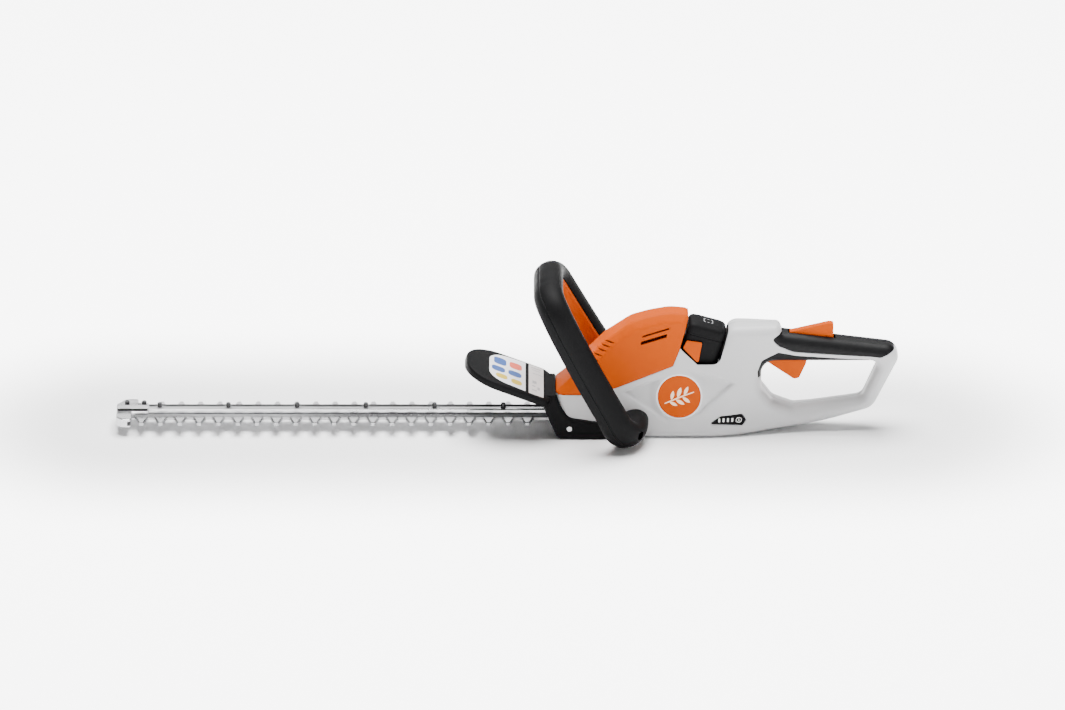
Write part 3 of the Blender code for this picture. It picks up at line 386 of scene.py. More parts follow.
def moved_in(loop, distance):
    """An anticlockwise outline moved to its inside by a distance, or by one for each point."""
    made = []
    for i, here in enumerate(loop):
        reach = distance[i] if isinstance(distance, list) else distance
        before = (Vector(here) - Vector(loop[i - 1])).normalized()
        after = (Vector(loop[(i + 1) % len(loop)]) - Vector(here)).normalized()
        normal = Vector((-before.y - after.y, before.x + after.x)).normalized()
        lean = max(0.45, normal.dot(Vector((-before.y, before.x))))
        made.append(tuple(Vector(here) + normal * (reach / lean)))
    return made


def inside(points, loop):
    points = np.asarray(points, float)
    result = np.zeros(len(points), bool)
    for (ax, ay), (bx, by) in zip(loop, loop[1:] + loop[:1]):
        crosses = (ay > points[:, 1]) != (by > points[:, 1])
        with np.errstate(divide="ignore", invalid="ignore"):
            at = (bx - ax) * (points[:, 1] - ay) / (by - ay) + ax
        result ^= crosses & (points[:, 0] < at)
    return result


def nearest_on(points, loops):
    """Distance from each point to the outlines, and the unit direction away from them."""
    points = np.asarray(points, float)
    best = np.full(len(points), 1e9)
    away = np.zeros_like(points)
    for index, loop in enumerate(loops):
        sign = 1.0 if index == 0 else -1.0
        for a, b in zip(loop, loop[1:] + loop[:1]):
            a = np.array(a)
            edge = np.array(b) - a
            along = np.clip(((points - a) @ edge) / max(edge @ edge, 1e-12), 0, 1)
            offset = points - a - along[:, None] * edge
            length = np.linalg.norm(offset, axis=1)
            closer = length < best
            best[closer] = length[closer]
            normal = sign * np.array((-edge[1], edge[0])) / max(np.linalg.norm(edge), 1e-9)
            direction = np.where(length[:, None] > 0.02, offset / np.maximum(length, 1e-9)[:, None], normal)
            away[closer] = direction[closer]
    return best, away


def filled(loops, extra=(), chains=()):
    """Triangles over the first outline, leaving the other outlines open."""
    points = []
    edges = []
    for loop in loops:
        first = len(points)
        points += loop
        edges += [(first + i, first + (i + 1) % len(loop)) for i in range(len(loop))]
    for chain in chains:
        first = len(points)
        points += chain
        edges += [(first + i, first + i + 1) for i in range(len(chain) - 1)]
    points += list(extra)
    found = delaunay_2d_cdt([Vector(p) for p in points], edges, [], 0, 1e-5)
    places = [tuple(p) for p in found[0]]
    triangles = [tuple(face) for face in found[2]]
    middles = np.array([np.mean([places[i] for i in face], axis=0) for face in triangles])
    keep = inside(middles, loops[0])
    for hole in loops[1:]:
        keep &= ~inside(middles, hole)
    return places, [face for face, kept in zip(triangles, keep) if kept]


def circle(radius, sides=48, centre=(0.0, 0.0)):
    return [(centre[0] + radius * math.cos(2 * math.pi * k / sides),
             centre[1] + radius * math.sin(2 * math.pi * k / sides)) for k in range(sides)]


def rectangle(x0, y0, x1, y1):
    return [(x0, y0), (x1, y0), (x1, y1), (x0, y1)]


def rounded_box(x0, y0, x1, y1, radius, step=8.0):
    return rounded([(x, y, radius) for x, y in rectangle(x0, y0, x1, y1)], step)


def grid_over(outline, step):
    """Points of a square grid over an outline's box."""
    xs = [p[0] for p in outline]
    ys = [p[1] for p in outline]
    return [(x, y) for x in np.arange(min(xs), max(xs), step) for y in np.arange(min(ys), max(ys), step)]


def rounding(reach, radius):
    """How far a rounded edge lies below full height, at a distance from the outline."""
    height = np.sqrt(np.maximum(radius ** 2 - (radius - reach) ** 2, 0))
    return np.where(reach < radius, radius - height, 0)


def leaning(place, angle):
    """A frame at a place, turned about Y by an angle in degrees."""
    return Matrix.Translation(Vector(place) * MM) @ Matrix.Rotation(math.radians(angle), 4, "Y")


# ---------------------------------------------------------------- meshes

def belong(made, body):
    """Lets a piece ride on its body, where one is given."""
    if body:
        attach(made, body)
    return made


def mesh_piece(name, points, faces, surface, body="tool", smooth=32.0, fix_normals=True):
    mesh = bpy.data.meshes.new(name)
    mesh.from_pydata([Vector(p) * MM for p in points], [], faces)
    if fix_normals:
        shape = bmesh.new()
        shape.from_mesh(mesh)
        bmesh.ops.remove_doubles(shape, verts=shape.verts, dist=1e-6)
        bmesh.ops.recalc_face_normals(shape, faces=shape.faces)
        shape.to_mesh(mesh)
        shape.free()
    mesh.shade_smooth()
    mesh.set_sharp_from_angle(angle=math.radians(smooth))
    made = bpy.data.objects.new(name, mesh)
    if surface:
        mesh.materials.append(surface)
    bpy.context.scene.collection.objects.link(made)
    return belong(made, body)


def bake_modifiers(made):
    """Replaces an object's mesh with what its modifiers make of it."""
    graph = bpy.context.evaluated_depsgraph_get()
    result = bpy.data.meshes.new_from_object(made.evaluated_get(graph))
    old = made.data
    made.modifiers.clear()
    made.data = result
    bpy.data.meshes.remove(old)


def resharpen(made, angle=32.0):
    made.data.shade_smooth()
    made.data.set_sharp_from_angle(angle=math.radians(angle))


def boolean(made, operation, *others, crossing=False):
    """Cuts or joins bodies; crossing allows for a thin shell that meets itself in tight corners."""
    for other in others:
        step = made.modifiers.new(operation.lower(), "BOOLEAN")
        step.operation = operation
        step.solver = "EXACT"
        step.use_self = crossing
        step.object = other
    bake_modifiers(made)
    for other in others:
        bpy.data.objects.remove(other, do_unlink=True)
    return made


PLANES = {
    "XZ": lambda u, v, t: (u, t, v),
    "XY": lambda u, v, t: (u, v, t),
    "YZ": lambda u, v, t: (t, u, v),
}


def layered(name, loops, levels, plane, surface, body="tool", place=None, smooth=32.0):
    """A flat outline with holes built up through levels of (height, inset), so that its
    edges are rounded or ground; the first and last level are closed."""
    if not isinstance(loops[0], list):
        loops = [loops]
    to_space = PLANES[plane]
    points = []
    faces = []
    starts = []
    for height, inset in levels:
        starts.append(len(points))
        for index, loop in enumerate(loops):
            ring = moved_in(loop, inset if index == 0 else -inset)
            points += [to_space(u, v, height) for u, v in ring]
    sizes = [len(loop) for loop in loops]
    for lower, upper in zip(starts, starts[1:]):
        first = 0
        for size in sizes:
            for i in range(size):
                j = (i + 1) % size
                faces.append((lower + first + i, lower + first + j, upper + first + j, upper + first + i))
            first += size
    for level, (height, inset) in ((0, levels[0]), (-1, levels[-1])):
        rings = [moved_in(loop, inset if index == 0 else -inset) for index, loop in enumerate(loops)]
        flat, triangles = filled(rings)
        first = len(points)
        points += [to_space(u, v, height) for u, v in flat]
        for face in triangles:
            faces.append(tuple(first + i for i in (reversed(face) if level == 0 else face)))
    made = mesh_piece(name, points, faces, surface, None, smooth)
    if place is not None:
        made.matrix_world = place
    return belong(made, body)


def soft_levels(low, high, radius=0.6, steps=3):
    """Levels of a plate whose edges are rounded on both faces."""
    levels = []
    for k in range(steps, -1, -1):
        turn = math.pi / 2 * k / steps
        levels.append((low + radius * (1 - math.sin(turn)), radius * (1 - math.cos(turn))))
    for k in range(steps + 1):
        turn = math.pi / 2 * k / steps
        levels.append((high - radius * (1 - math.sin(turn)), radius * (1 - math.cos(turn))))
    return levels


def turned(name, profile, centre, axis, surface, body="tool", sides=32, smooth=32.0):
    """A body turned from a profile of (radius, height) points, which starts and ends on the axis
    or closes into a ring."""
    points = []
    faces = []
    count = len(profile)
    for k in range(sides):
        angle = 2 * math.pi * k / sides
        for radius, height in profile:
            points.append((radius * math.cos(angle), radius * math.sin(angle), height))
    for k in range(sides):
        here = k * count
        there = ((k + 1) % sides) * count
        for i in range(count):
            j = (i + 1) % count
            if profile[i][0] == 0 and profile[j][0] == 0:
                continue
            faces.append((here + i, there + i, there + j, here + j))
    made = mesh_piece(name, points, faces, surface, None, smooth)
    made.rotation_euler = Vector((0, 0, 1)).rotation_difference(Vector(axis)).to_euler()
    made.location = Vector(centre) * MM
    return belong(made, body)


def swept(name, sections, surface, body="tool", smooth=40.0):
    """A closed body through sections that all have the same number of points."""
    points = [p for section in sections for p in section]
    count = len(sections[0])
    faces = [tuple(range(count)), tuple(range(len(points) - count, len(points)))]
    for s in range(len(sections) - 1):
        for i in range(count):
            j = (i + 1) % count
            faces.append((s * count + i, s * count + j, (s + 1) * count + j, (s + 1) * count + i))
    return mesh_piece(name, points, faces, surface, body, smooth)


# ---------------------------------------------------------------- housing surface

def smoothstep(low, high, value):
    t = np.clip((value - low) / (high - low), 0, 1)
    return t * t * (3 - 2 * t)


def handle_share(x, z):
    """0 on the body and 1 on the rear handle."""
    high = smoothstep(*NARROWING_HEIGHTS, z)
    start = LOW_NARROWING[0] + (NARROWING[0] - LOW_NARROWING[0]) * high
    end = LOW_NARROWING[1] + (NARROWING[1] - LOW_NARROWING[1]) * high
    return smoothstep(start, end, x)


def half_width(x, z):
    body = BODY_HALF_WIDTH - BODY_DRAFT * z
    share = handle_share(x, z)
    return body * (1 - share) + HANDLE_HALF_WIDTH * share


def hood_share(x, z):
    hood_line = 50 + 0.42 * np.clip(x + 77, 0, 200)
    return smoothstep(-2, 6, z - hood_line) * (1 - smoothstep(47, 56, x))


def edge_radius(x, z):
    body = 9.0 - 7.0 * hood_share(x, z)
    share = handle_share(x, z)
    return body * (1 - share) + HANDLE_EDGE_RADIUS * share


def across(x, z, start, end):
    """Signed distance of points from a line, positive on its left."""
    run = math.hypot(end[0] - start[0], end[1] - start[1])
    return ((end[0] - start[0]) * (z - start[1]) - (end[1] - start[1]) * (x - start[0])) / run


# folds of the housing's sides: start and end of the line, the side that falls away, its width
TOP_FOLD = ((59, 77), (100, 65), -1, 3.0)
RIDGE_FOLD = ((58, 28), (92, 59), 1, 3.6)
HOOD_FOLD = ((-30, 56), (12, 71), -1, 3.0)
LEFT_FOLD = ((-22, 47), (7, 27), 1, 3.4)
FOLDS = (TOP_FOLD, RIDGE_FOLD, HOOD_FOLD, LEFT_FOLD)
BEHIND_DEPTH = 3.6             # of the dished facet behind the badge
AHEAD_DEPTH = 3.4              # and of the one ahead of it
LOW_PANEL_DEPTH = 1.4


def falling(x, z, fold):
    """0 on one side of a fold and 1 past its width on the side that falls away."""
    start, end, side, wide = fold
    return smoothstep(0, wide, side * across(x, z, start, end))


def fold_rows(fold, spacing):
    """Rows of points along a fold, so that the surface bends there and nowhere else."""
    start, end, side, wide = fold
    run = math.hypot(end[0] - start[0], end[1] - start[1])
    step = ((end[0] - start[0]) / run, (end[1] - start[1]) / run)
    along = np.linspace(0, run, int(run / spacing) + 2)
    return [[(start[0] + step[0] * t - step[1] * side * wide * share,
              start[1] + step[1] * t + step[0] * side * wide * share) for t in along]
            for share in (0.0, 0.33, 0.67, 1.0)]


def sculpt(x, z):
    """Soft dished facets of the housing's sides, as a change of half width."""
    radius = np.hypot(x - BADGE_CENTRE[0], z - BADGE_CENTRE[1])
    clear_of_badge = smoothstep(BADGE_RADIUS + 2, BADGE_RADIUS + 9, radius)
    behind = (falling(x, z, TOP_FOLD) * falling(x, z, RIDGE_FOLD)
              * (1 - smoothstep(88, 106, x)) * smoothstep(40, 55, x))
    ahead = (falling(x, z, HOOD_FOLD) * falling(x, z, LEFT_FOLD)
             * smoothstep(-34, -24, x) * (1 - smoothstep(18, 30, x)))
    low_panel = smoothstep(0, 8, -across(x, z, (88, 30), (118, 60))) * smoothstep(104, 114, x)
    low_panel = low_panel * (1 - smoothstep(135, 170, x))
    return -(BEHIND_DEPTH * behind + AHEAD_DEPTH * ahead) * clear_of_badge - LOW_PANEL_DEPTH * low_panel


def in_battery(x, y, z):
    """A point given from the centre of the battery's bottom, along its leaning axes."""
    lean = math.radians(BATTERY_TILT)
    return (BATTERY_FOOT[0] + x * math.cos(lean) + z * math.sin(lean), y,
            BATTERY_FOOT[1] - x * math.sin(lean) + z * math.cos(lean))


def battery_frame():
    return leaning(in_battery(0, 0, 0), BATTERY_TILT)


def bay_outline():
    half = BATTERY_SIZE[0] / 2 + BATTERY_GAP
    top_right = in_battery(half, 0, 130)
    low_right = in_battery(half, 0, 51.5)
    return rounded([(49.5, 160, 0), (33.6, 104.3, 0), (53.6, 85.6, 3), (low_right[0], 85.6, 11),
                    (top_right[0], top_right[2], 0)])


def panel_outline():
    return rounded([(-19.5, -2.5, 1), (-19.5, -3.6, 1), (8, -5.6, 2), (15.5, -6.2, 2), (19.5, -1, 2),
                    (15, 6.2, 2), (-9, 4.4, 3)])


def on_side(x, z, side):
    """A frame on the housing's side, -1 for left and 1 for right, whose Z points outwards."""
    rise_x = float(half_width(x + 1, z) - half_width(x - 1, z)) / 2
    rise_z = float(half_width(x, z + 1) - half_width(x, z - 1)) / 2
    out = Vector((-rise_x, side, -rise_z)).normalized()
    along = (Vector((-side, 0, 0)) + out * side * out.x).normalized()
    up = out.cross(along)
    turn = Matrix((along, up, out)).transposed().to_4x4()
    return Matrix.Translation(Vector((x, side * float(half_width(x, z)), z)) * MM) @ turn


# distance from a seam and depth below the surface, for a groove of width 1
SEAM_PROFILE = ((0.0, 0.75), (0.12, 0.42), (0.32, 0.14), (0.8, 0.0))


def seam_drop(distance, groove):
    steps = np.array(SEAM_PROFILE)
    return np.interp(distance / groove, steps[:, 0], steps[:, 1]) * groove


def shell_sheet(outline, opening, seams, spacing, fine_rings):
    """One triangulation of the side view, cut along every seam, with rows of points along
    the outline's rounding and along the seams."""
    master = [divided(outline, spacing), divided(opening, spacing)]
    chains = []
    crease = moved_in(master[0], HOOD_CHAMFER[0])
    reach, _ = nearest_on(crease, master[:1])
    chains.append([p for p, far in zip(crease, reach)
                   if far > HOOD_CHAMFER[0] * 0.97 and float(hood_share(*p)) > 0.9])
    for index, loop in enumerate(master):
        sign = 1 if index == 0 else -1
        for ring in fine_rings:
            insets = [float(edge_radius(x, z)) * (1 - math.cos(math.radians(ring))) for x, z in loop]
            row = moved_in(loop, [sign * inset for inset in insets])
            reach, _ = nearest_on(row, master)
            good = (reach > 0.97 * np.array(insets)) & inside(row, master[0]) & ~inside(row, master[1])
            chain = []
            for k in range(len(row) + 1):
                if good[k % len(row)]:
                    chain.append(row[k % len(row)])
                elif chain:
                    chains.append(chain)
                    chain = []
            if len(chain) > 1:
                chains.append(chain)
    for loop in seams:
        fine = divided(loop, spacing)
        for offset, _ in SEAM_PROFILE:
            for sign in ((1,) if offset == 0 else (1, -1)):
                row = moved_in(fine, sign * offset)
                chains.append(row + row[:1])
    for fold in FOLDS:
        chains += fold_rows(fold, spacing)
    extra = grid_over(outline, spacing * 1.3)
    reach, _ = nearest_on(extra, master + seams)
    extra = [p for p, far in zip(extra, reach) if far > 1.6]
    places, triangles = filled(master, extra, chains)
    return master, np.array(places), triangles


def side_heights(places, master):
    """Half width of the housing at points of its side view; then their distance from its outline,
    as a share of the edge's radius and in full, and the direction away from it."""
    reach, away = nearest_on(places, master)
    x = places[:, 0]
    z = places[:, 1]
    radius = edge_radius(x, z)
    slope = HOOD_CHAMFER[1] / HOOD_CHAMFER[0] * np.maximum(HOOD_CHAMFER[0] - reach, 0)
    width = half_width(x, z) - slope * hood_share(x, z)
    width = width + sculpt(x, z) * smoothstep(0.4, 1.6, reach / radius)
    return width - rounding(reach, radius), reach / radius, reach, away


def shell_piece(name, sheet, triangles, seams, surface, sides, parting=None, groove=None):
    """The outer skin of one moulded piece, given its wall. sides lists -1 for left, 1 for right."""
    master, places, _ = sheet
    used = sorted({i for face in triangles for i in face})
    order = {old: new for new, old in enumerate(used)}
    flat = places[used]
    height, share, reach, away = side_heights(flat, master)
    seam_reach = np.full(len(flat), 1e9)
    for loop in seams:
        distance, _ = nearest_on(flat, [loop])
        seam_reach = np.minimum(seam_reach, distance)
    width = np.ones(len(flat)) if groove is None else groove(flat[:, 0], flat[:, 1])
    drop = seam_drop(seam_reach, width)
    turn = np.clip(1 - share, 0, 1) * math.pi / 2
    height = height - drop * np.cos(turn)
    flat = flat + away * (drop * np.sin(turn))[:, None]
    faces = []
    points = []
    first = {}
    for side in sides:
        first[side] = len(points)
        points += [(p[0], side * h, p[1]) for p, h in zip(flat, height)]
        for face in triangles:
            row = tuple(first[side] + order[i] for i in face)
            faces.append(row if side < 0 else row[::-1])
    edges = {}
    for face in triangles:
        for a, b in zip(face, face[1:] + face[:1]):
            edges[(a, b)] = True
    rim = [(order[a], order[b]) for a, b in edges if (b, a) not in edges]
    rim = [(a, b) for a, b in rim if reach[a] < 0.02 and reach[b] < 0.02]
    ends = {i for edge in rim for i in edge}

    def row_of(side_value):
        row = {}
        for i in ends:
            y, inset = side_value(i)
            spot = flat[i] + away[i] * inset
            row[i] = len(points)
            points.append((spot[0], y, spot[1]))
        return row

    rows = []
    if len(sides) == 2:
        rows.append({i: first[-1] + i for i in ends})
        for part in (-0.5, 0.0, 0.5):
            rows.append(row_of(lambda i: (height[i] * part, 0.0)))
        rows.append({i: first[1] + i for i in ends})
    elif sides[0] < 0:
        rows.append({i: first[-1] + i for i in ends})
        rows.append(row_of(lambda i: ((parting - 0.8 - height[i]) / 2, 0.0)))
        for back, inset in ((0.9, 0.0), (0.4, 0.12), (0.16, 0.4), (0.0, 0.9)):
            rows.append(row_of(lambda i: (parting - 0.15 - back, inset)))
    else:
        for back, inset in ((0.0, 0.9), (0.16, 0.4), (0.4, 0.12), (0.9, 0.0)):
            rows.append(row_of(lambda i: (parting + 0.15 + back, inset)))
        rows.append(row_of(lambda i: ((parting + 0.8 + height[i]) / 2, 0.0)))
        rows.append({i: first[1] + i for i in ends})
    for lower, upper in zip(rows, rows[1:]):
        for a, b in rim:
            faces.append((lower[b], lower[a], upper[a], upper[b]))
    made = mesh_piece(name, points, faces, surface, None, 50.0, fix_normals=False)
    wall = made.modifiers.new("wall", "SOLIDIFY")
    wall.thickness = SHELL * MM
    wall.offset = -1
    bake_modifiers(made)
    resharpen(made, SHELL_ANGLE)
    return belong(made, "tool")


def make_shells(colours):
    outline = rounded(HOUSING_OUTLINE)
    opening = rounded(HAND_OPENING)
    hood_region = rounded(HOOD_REGION)
    grip_region = rounded(GRIP_REGION)
    liner_region = rounded(LINER_REGION)
    bay = bay_outline()
    badge = circle(BADGE_RADIUS + 0.4, 64, BADGE_CENTRE)
    panel = [(PANEL_CENTRE[0] + x, PANEL_CENTRE[1] + z) for x, z in moved_in(panel_outline(), -0.4)]
    seams = [hood_region, grip_region, liner_region, bay, badge, panel]
    spacing = 3.0
    sheet = shell_sheet(outline, opening, seams, spacing, (10, 20, 32, 45, 60, 75, 90))
    _, places, triangles = sheet
    middles = np.array([places[list(face)].mean(axis=0) for face in triangles])
    label = np.array(["housing"] * len(triangles), dtype=object)
    label[inside(middles, badge)] = "badge"
    label[inside(middles, panel)] = "panel"
    label[inside(middles, liner_region)] = "liner"
    label[inside(middles, grip_region)] = "grip"
    label[inside(middles, hood_region)] = "hood"
    label[inside(middles, bay)] = "bay"

    def pick(*names):
        return [face for face, tag in zip(triangles, label) if tag in names]

    def hood_groove(x, z):
        return 1 + 1.6 * (1 - smoothstep(-70, -45, x)) * (1 - smoothstep(58, 66, z))

    left = shell_piece("housing_left_shell", sheet, pick("housing"), seams, colours["white_plastic"],
                       (-1,), PARTING_Y)
    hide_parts("housing_left")
    right = shell_piece("housing_right_shell", sheet, pick("housing", "panel"), seams[:5],
                        colours["white_plastic"], (1,), PARTING_Y)
    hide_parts("housing_right")
    hood = shell_piece("motor_hood_shell", sheet, pick("hood"), [hood_region, bay], colours["orange_plastic"],
                       (-1, 1), groove=hood_groove)
    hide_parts("motor_hood")
    grip_parts = pick("grip")
    for tag, side in (("left", -1), ("right", 1)):
        grip = shell_piece("grip_%s_skin" % tag, sheet, grip_parts, [grip_region], colours["soft_grip"],
                           (side,), PARTING_Y)
        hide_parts("grip_" + tag)
        boolean(grip, "DIFFERENCE", block("lockout_slot", *LOCKOUT_SLOT), crossing=True)
        resharpen(grip, SHELL_ANGLE)
    liner = shell_piece("handle_liner_skin", sheet, pick("liner"), [liner_region], colours["soft_grip"],
                        (-1, 1))
    boolean(liner, "DIFFERENCE", block("trigger_slot", *TRIGGER_SLOT))
    resharpen(liner, SHELL_ANGLE)
    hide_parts("handle_liner")
    for tag, half in (("left", left), ("right", right)):
        boolean(half, "DIFFERENCE", block("blade_mouth_" + tag, *BLADE_MOUTH),
                block("trigger_slot_" + tag, *TRIGGER_SLOT), crossing=True)
        resharpen(half, SHELL_ANGLE)
    # the vent and gill cutters carry a dark brown, painted shade for the walls they leave
    cut_vents(hood, colours["vent_painted_shade"])


def cut_vents(hood, surface):
    """Two slots straight through the hood, and five short gills on each of its sides."""
    cutters = []
    for x, z, length, height in ((5.5, 122.5, 33, 1.0), (3.0, 114.5, 31, 1.9)):
        half = length / 2
        slot = rounded([(-half, -height, 0.8), (half, -height, 0.8),
                        (half + 2, height, 0.8), (-half + 2, height, 0.8)])
        cutters.append(layered("hood_vent", slot, [(-60, 0), (60, 0)], "XZ", surface, None,
                               place=leaning((x, 0, z), -17)))
    gill = rounded([(-6, -1.1, 0.5), (2, -0.9, 0.8), (7, 0.9, 0.3), (1, 0.9, 0.8), (-4, 0.5, 0.4)])
    for side in (-1, 1):
        levels = [(-24, 0), (9, 0)] if side > 0 else [(-9, 0), (24, 0)]
        for x, z in ((-66, 91), (-61.5, 96.5), (-57, 101.8), (-52.5, 106.6), (-47.5, 111)):
            cutters.append(layered("hood_gill", gill, levels, "XZ", surface, None,
                                   place=leaning((x + 1.5, side * 36, z), 12)))
    boolean(hood, "DIFFERENCE", *cutters, crossing=True)
    resharpen(hood, SHELL_ANGLE)


def block(name, low, high, surface=None):
    """A plain cutting block."""
    (x0, y0, z0), (x1, y1, z1) = low, high
    return layered(name, rectangle(x0, y0, x1, y1), [(z0, 0), (z1, 0)], "XY", surface, None)


# ---------------------------------------------------------------- bow handle

def bow_line(count):
    """Centre line of the whole bow as a smooth curve, from the left foot to the right foot."""
    left = [Vector((x, -y, z)) for x, y, z in BOW_PATH]
    right = [Vector((x, y, z)) for x, y, z in reversed(BOW_PATH[:-1])]
    knots = left + right
    lengths = [0.0]
    for a, b in zip(knots, knots[1:]):
        lengths.append(lengths[-1] + (b - a).length)
    line = []
    for k in range(count):
        at = lengths[-1] * k / (count - 1)
        i = max(0, min(len(knots) - 2, next((j for j in range(len(lengths) - 1) if lengths[j + 1] >= at), 0)))
        t = (at - lengths[i]) / (lengths[i + 1] - lengths[i])
        p1 = knots[i]
        p2 = knots[i + 1]
        p0 = knots[i - 1] if i > 0 else p1 * 2 - p2
        p3 = knots[i + 2] if i + 2 < len(knots) else p2 * 2 - p1
        point = 0.5 * (2 * p1 + (p2 - p0) * t + (2 * p0 - 5 * p1 + 4 * p2 - p3) * t ** 2
                       + (3 * p1 - p0 - 3 * p2 + p3) * t ** 3)
        line.append(point)
    return line


def bow_sections(shape, line, first=0.0, last=1.0):
    """Sections along a share of the bow; shape gives (forwards, inwards) points for a size
    factor and the share of the way along the piece."""
    lean = math.radians(BOW_LEAN)
    front = Vector((-math.cos(lean), 0, -math.sin(lean)))
    middle = Vector((-70, 0, 95))
    final = len(line) - 1
    start = round(first * final)
    stop = round(last * final)
    sections = []
    for i in range(start, stop + 1):
        ahead = (line[min(i + 1, final)] - line[max(i - 1, 0)]).normalized()
        forward = (front - ahead * front.dot(ahead)).normalized()
        inward = forward.cross(ahead)
        if inward.dot(middle - line[i]) < 0:
            inward = -inward
        foot = min(i, final - i) / final * 34
        size = 1.0 + 0.16 * max(0.0, 1 - foot / 5.0)
        row = shape(size, (i - start) / (stop - start))
        sections.append([line[i] + forward * f + inward * s for f, s in row])
    return sections


def tube_part(size, front, steps):
    """C-shaped part of the tube wall, on one side of the moulding seam."""
    a = BOW_FORE_AFT * size
    b = BOW_ACROSS * size
    limit = BOW_SEAM + (0.02 if front else -0.02)
    outer_end = math.acos(limit / a)
    inner_end = math.acos(limit / (a - BOW_WALL))
    fine = [0, 0.008, 0.02, 0.045]
    shares = fine + list(np.linspace(0.09, 0.91, steps)) + [1 - share for share in reversed(fine)]
    outer = []
    inner = []
    for share in shares:
        t = 2 * share - 1
        outer_angle = t * outer_end if front else math.pi + t * (math.pi - outer_end)
        inner_angle = t * inner_end if front else math.pi + t * (math.pi - inner_end)
        span = 2 * outer_end if front else 2 * (math.pi - outer_end)
        seam = min(share, 1 - share) * span * (a + b) / 2
        drop = float(np.interp(seam, (0, 0.3, 0.8, 1.6), (0.8, 0.35, 0.1, 0)))
        outer.append(((a - drop) * math.cos(outer_angle), (b - drop) * math.sin(outer_angle)))
        inner.append(((a - BOW_WALL) * math.cos(inner_angle), (b - BOW_WALL) * math.sin(inner_angle)))
    return outer + inner[::-1]


def make_bow(colours):
    line = bow_line(170)
    steps = 22
    front = swept("bow_front_skin", bow_sections(lambda size, _: tube_part(size, True, steps), line),
                  colours["black_plastic"])
    rear = swept("bow_rear_skin", bow_sections(lambda size, _: tube_part(size, False, steps), line),
                 colours["black_plastic"])
    channel_shape = [(-10.0, 4.6), (-10.0, 22), (12.0, 22), (12.0, 4.6)]
    for shell, node in ((front, "bow_front_shell"), (rear, "bow_rear_shell")):
        channel = swept("switch_channel", bow_sections(lambda size, _: channel_shape, line, 0.15, 0.85),
                        colours["black_plastic"], None)
        cutters = [channel]
        for side in (-1, 1):
            outward = Vector((0.68, side * 0.72, 0.05)).normalized()
            centre = Vector((-24, side * 62, 17.7)) + outward * 19
            cutters.append(turned("foot_recess", [(0, -6), (5.2, -6), (5.8, 12), (0, 12)], centre, outward,
                                  colours["soft_grip"], None, sides=24))
            cutters.append(layered("foot_slit", rounded_box(-5, -0.7, 5, 0.7, 0.6), [(-26, 0), (26, 0)],
                                   "XZ", colours["soft_grip"], None,
                                   place=leaning((-44.5, side * 90, 15), 34)))
        boolean(shell, "DIFFERENCE", *cutters)
        resharpen(shell, 40.0)
        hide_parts(node)

    foot = 8.4
    section = rounded([(-9.0, foot, 0), (-9.0, 13.9, 3.2), (0, 14.9, 20), (11.1, 13.6, 2.6),
                       (11.1, foot, 0)], 15)

    def bar_shape(size, along):
        taper = min(1.0, 14 * min(along, 1 - along) + 0.15)
        return [(f, foot + (s - foot) * taper) for f, s in section]

    bar = swept("switch_bar_skin", bow_sections(bar_shape, line, 0.18, 0.82), colours["orange_plastic"],
                "switch_bar")
    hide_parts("switch_bar")


# ---------------------------------------------------------------- hand guard

def guard_place():
    return leaning((GUARD_ROOT[0], 0, GUARD_ROOT[1]), GUARD_SLOPE)


def jacket(name, outline, extra, radius, surface):
    """A closed body round the housing's nose: both sides and the band that joins them."""
    loop = divided(outline, 2.0)
    rings = []
    for angle in (0, 20, 40, 60, 90):
        rings.append(moved_in(loop, radius * (1 - math.cos(math.radians(angle)))))
    extra_points = grid_over(loop, 3.0)
    reach, _ = nearest_on(extra_points, [loop])
    extra_points = [p for p, far in zip(extra_points, reach) if far > radius + 0.5]
    for ring in rings[1:]:
        reach, _ = nearest_on(ring, [loop])
        wanted = reach > 0.9 * (reach.max())
        extra_points += [p for p, good in zip(ring, wanted & inside(ring, loop)) if good]
    places, triangles = filled([loop], extra_points)
    flat = np.array(places)
    reach, _ = nearest_on(flat, [loop])
    height = half_width(flat[:, 0], flat[:, 1]) + extra - rounding(reach, radius)
    count = len(flat)
    points = [(p[0], side * h, p[1]) for side in (-1, 1) for p, h in zip(flat, height)]
    faces = triangles + [tuple(i + count for i in reversed(face)) for face in triangles]
    edges = {(a, b) for face in triangles for a, b in zip(face, face[1:] + face[:1])}
    faces += [(b, a, a + count, b + count) for a, b in edges if (b, a) not in edges]
    return mesh_piece(name, points, faces, surface, None, 40.0)


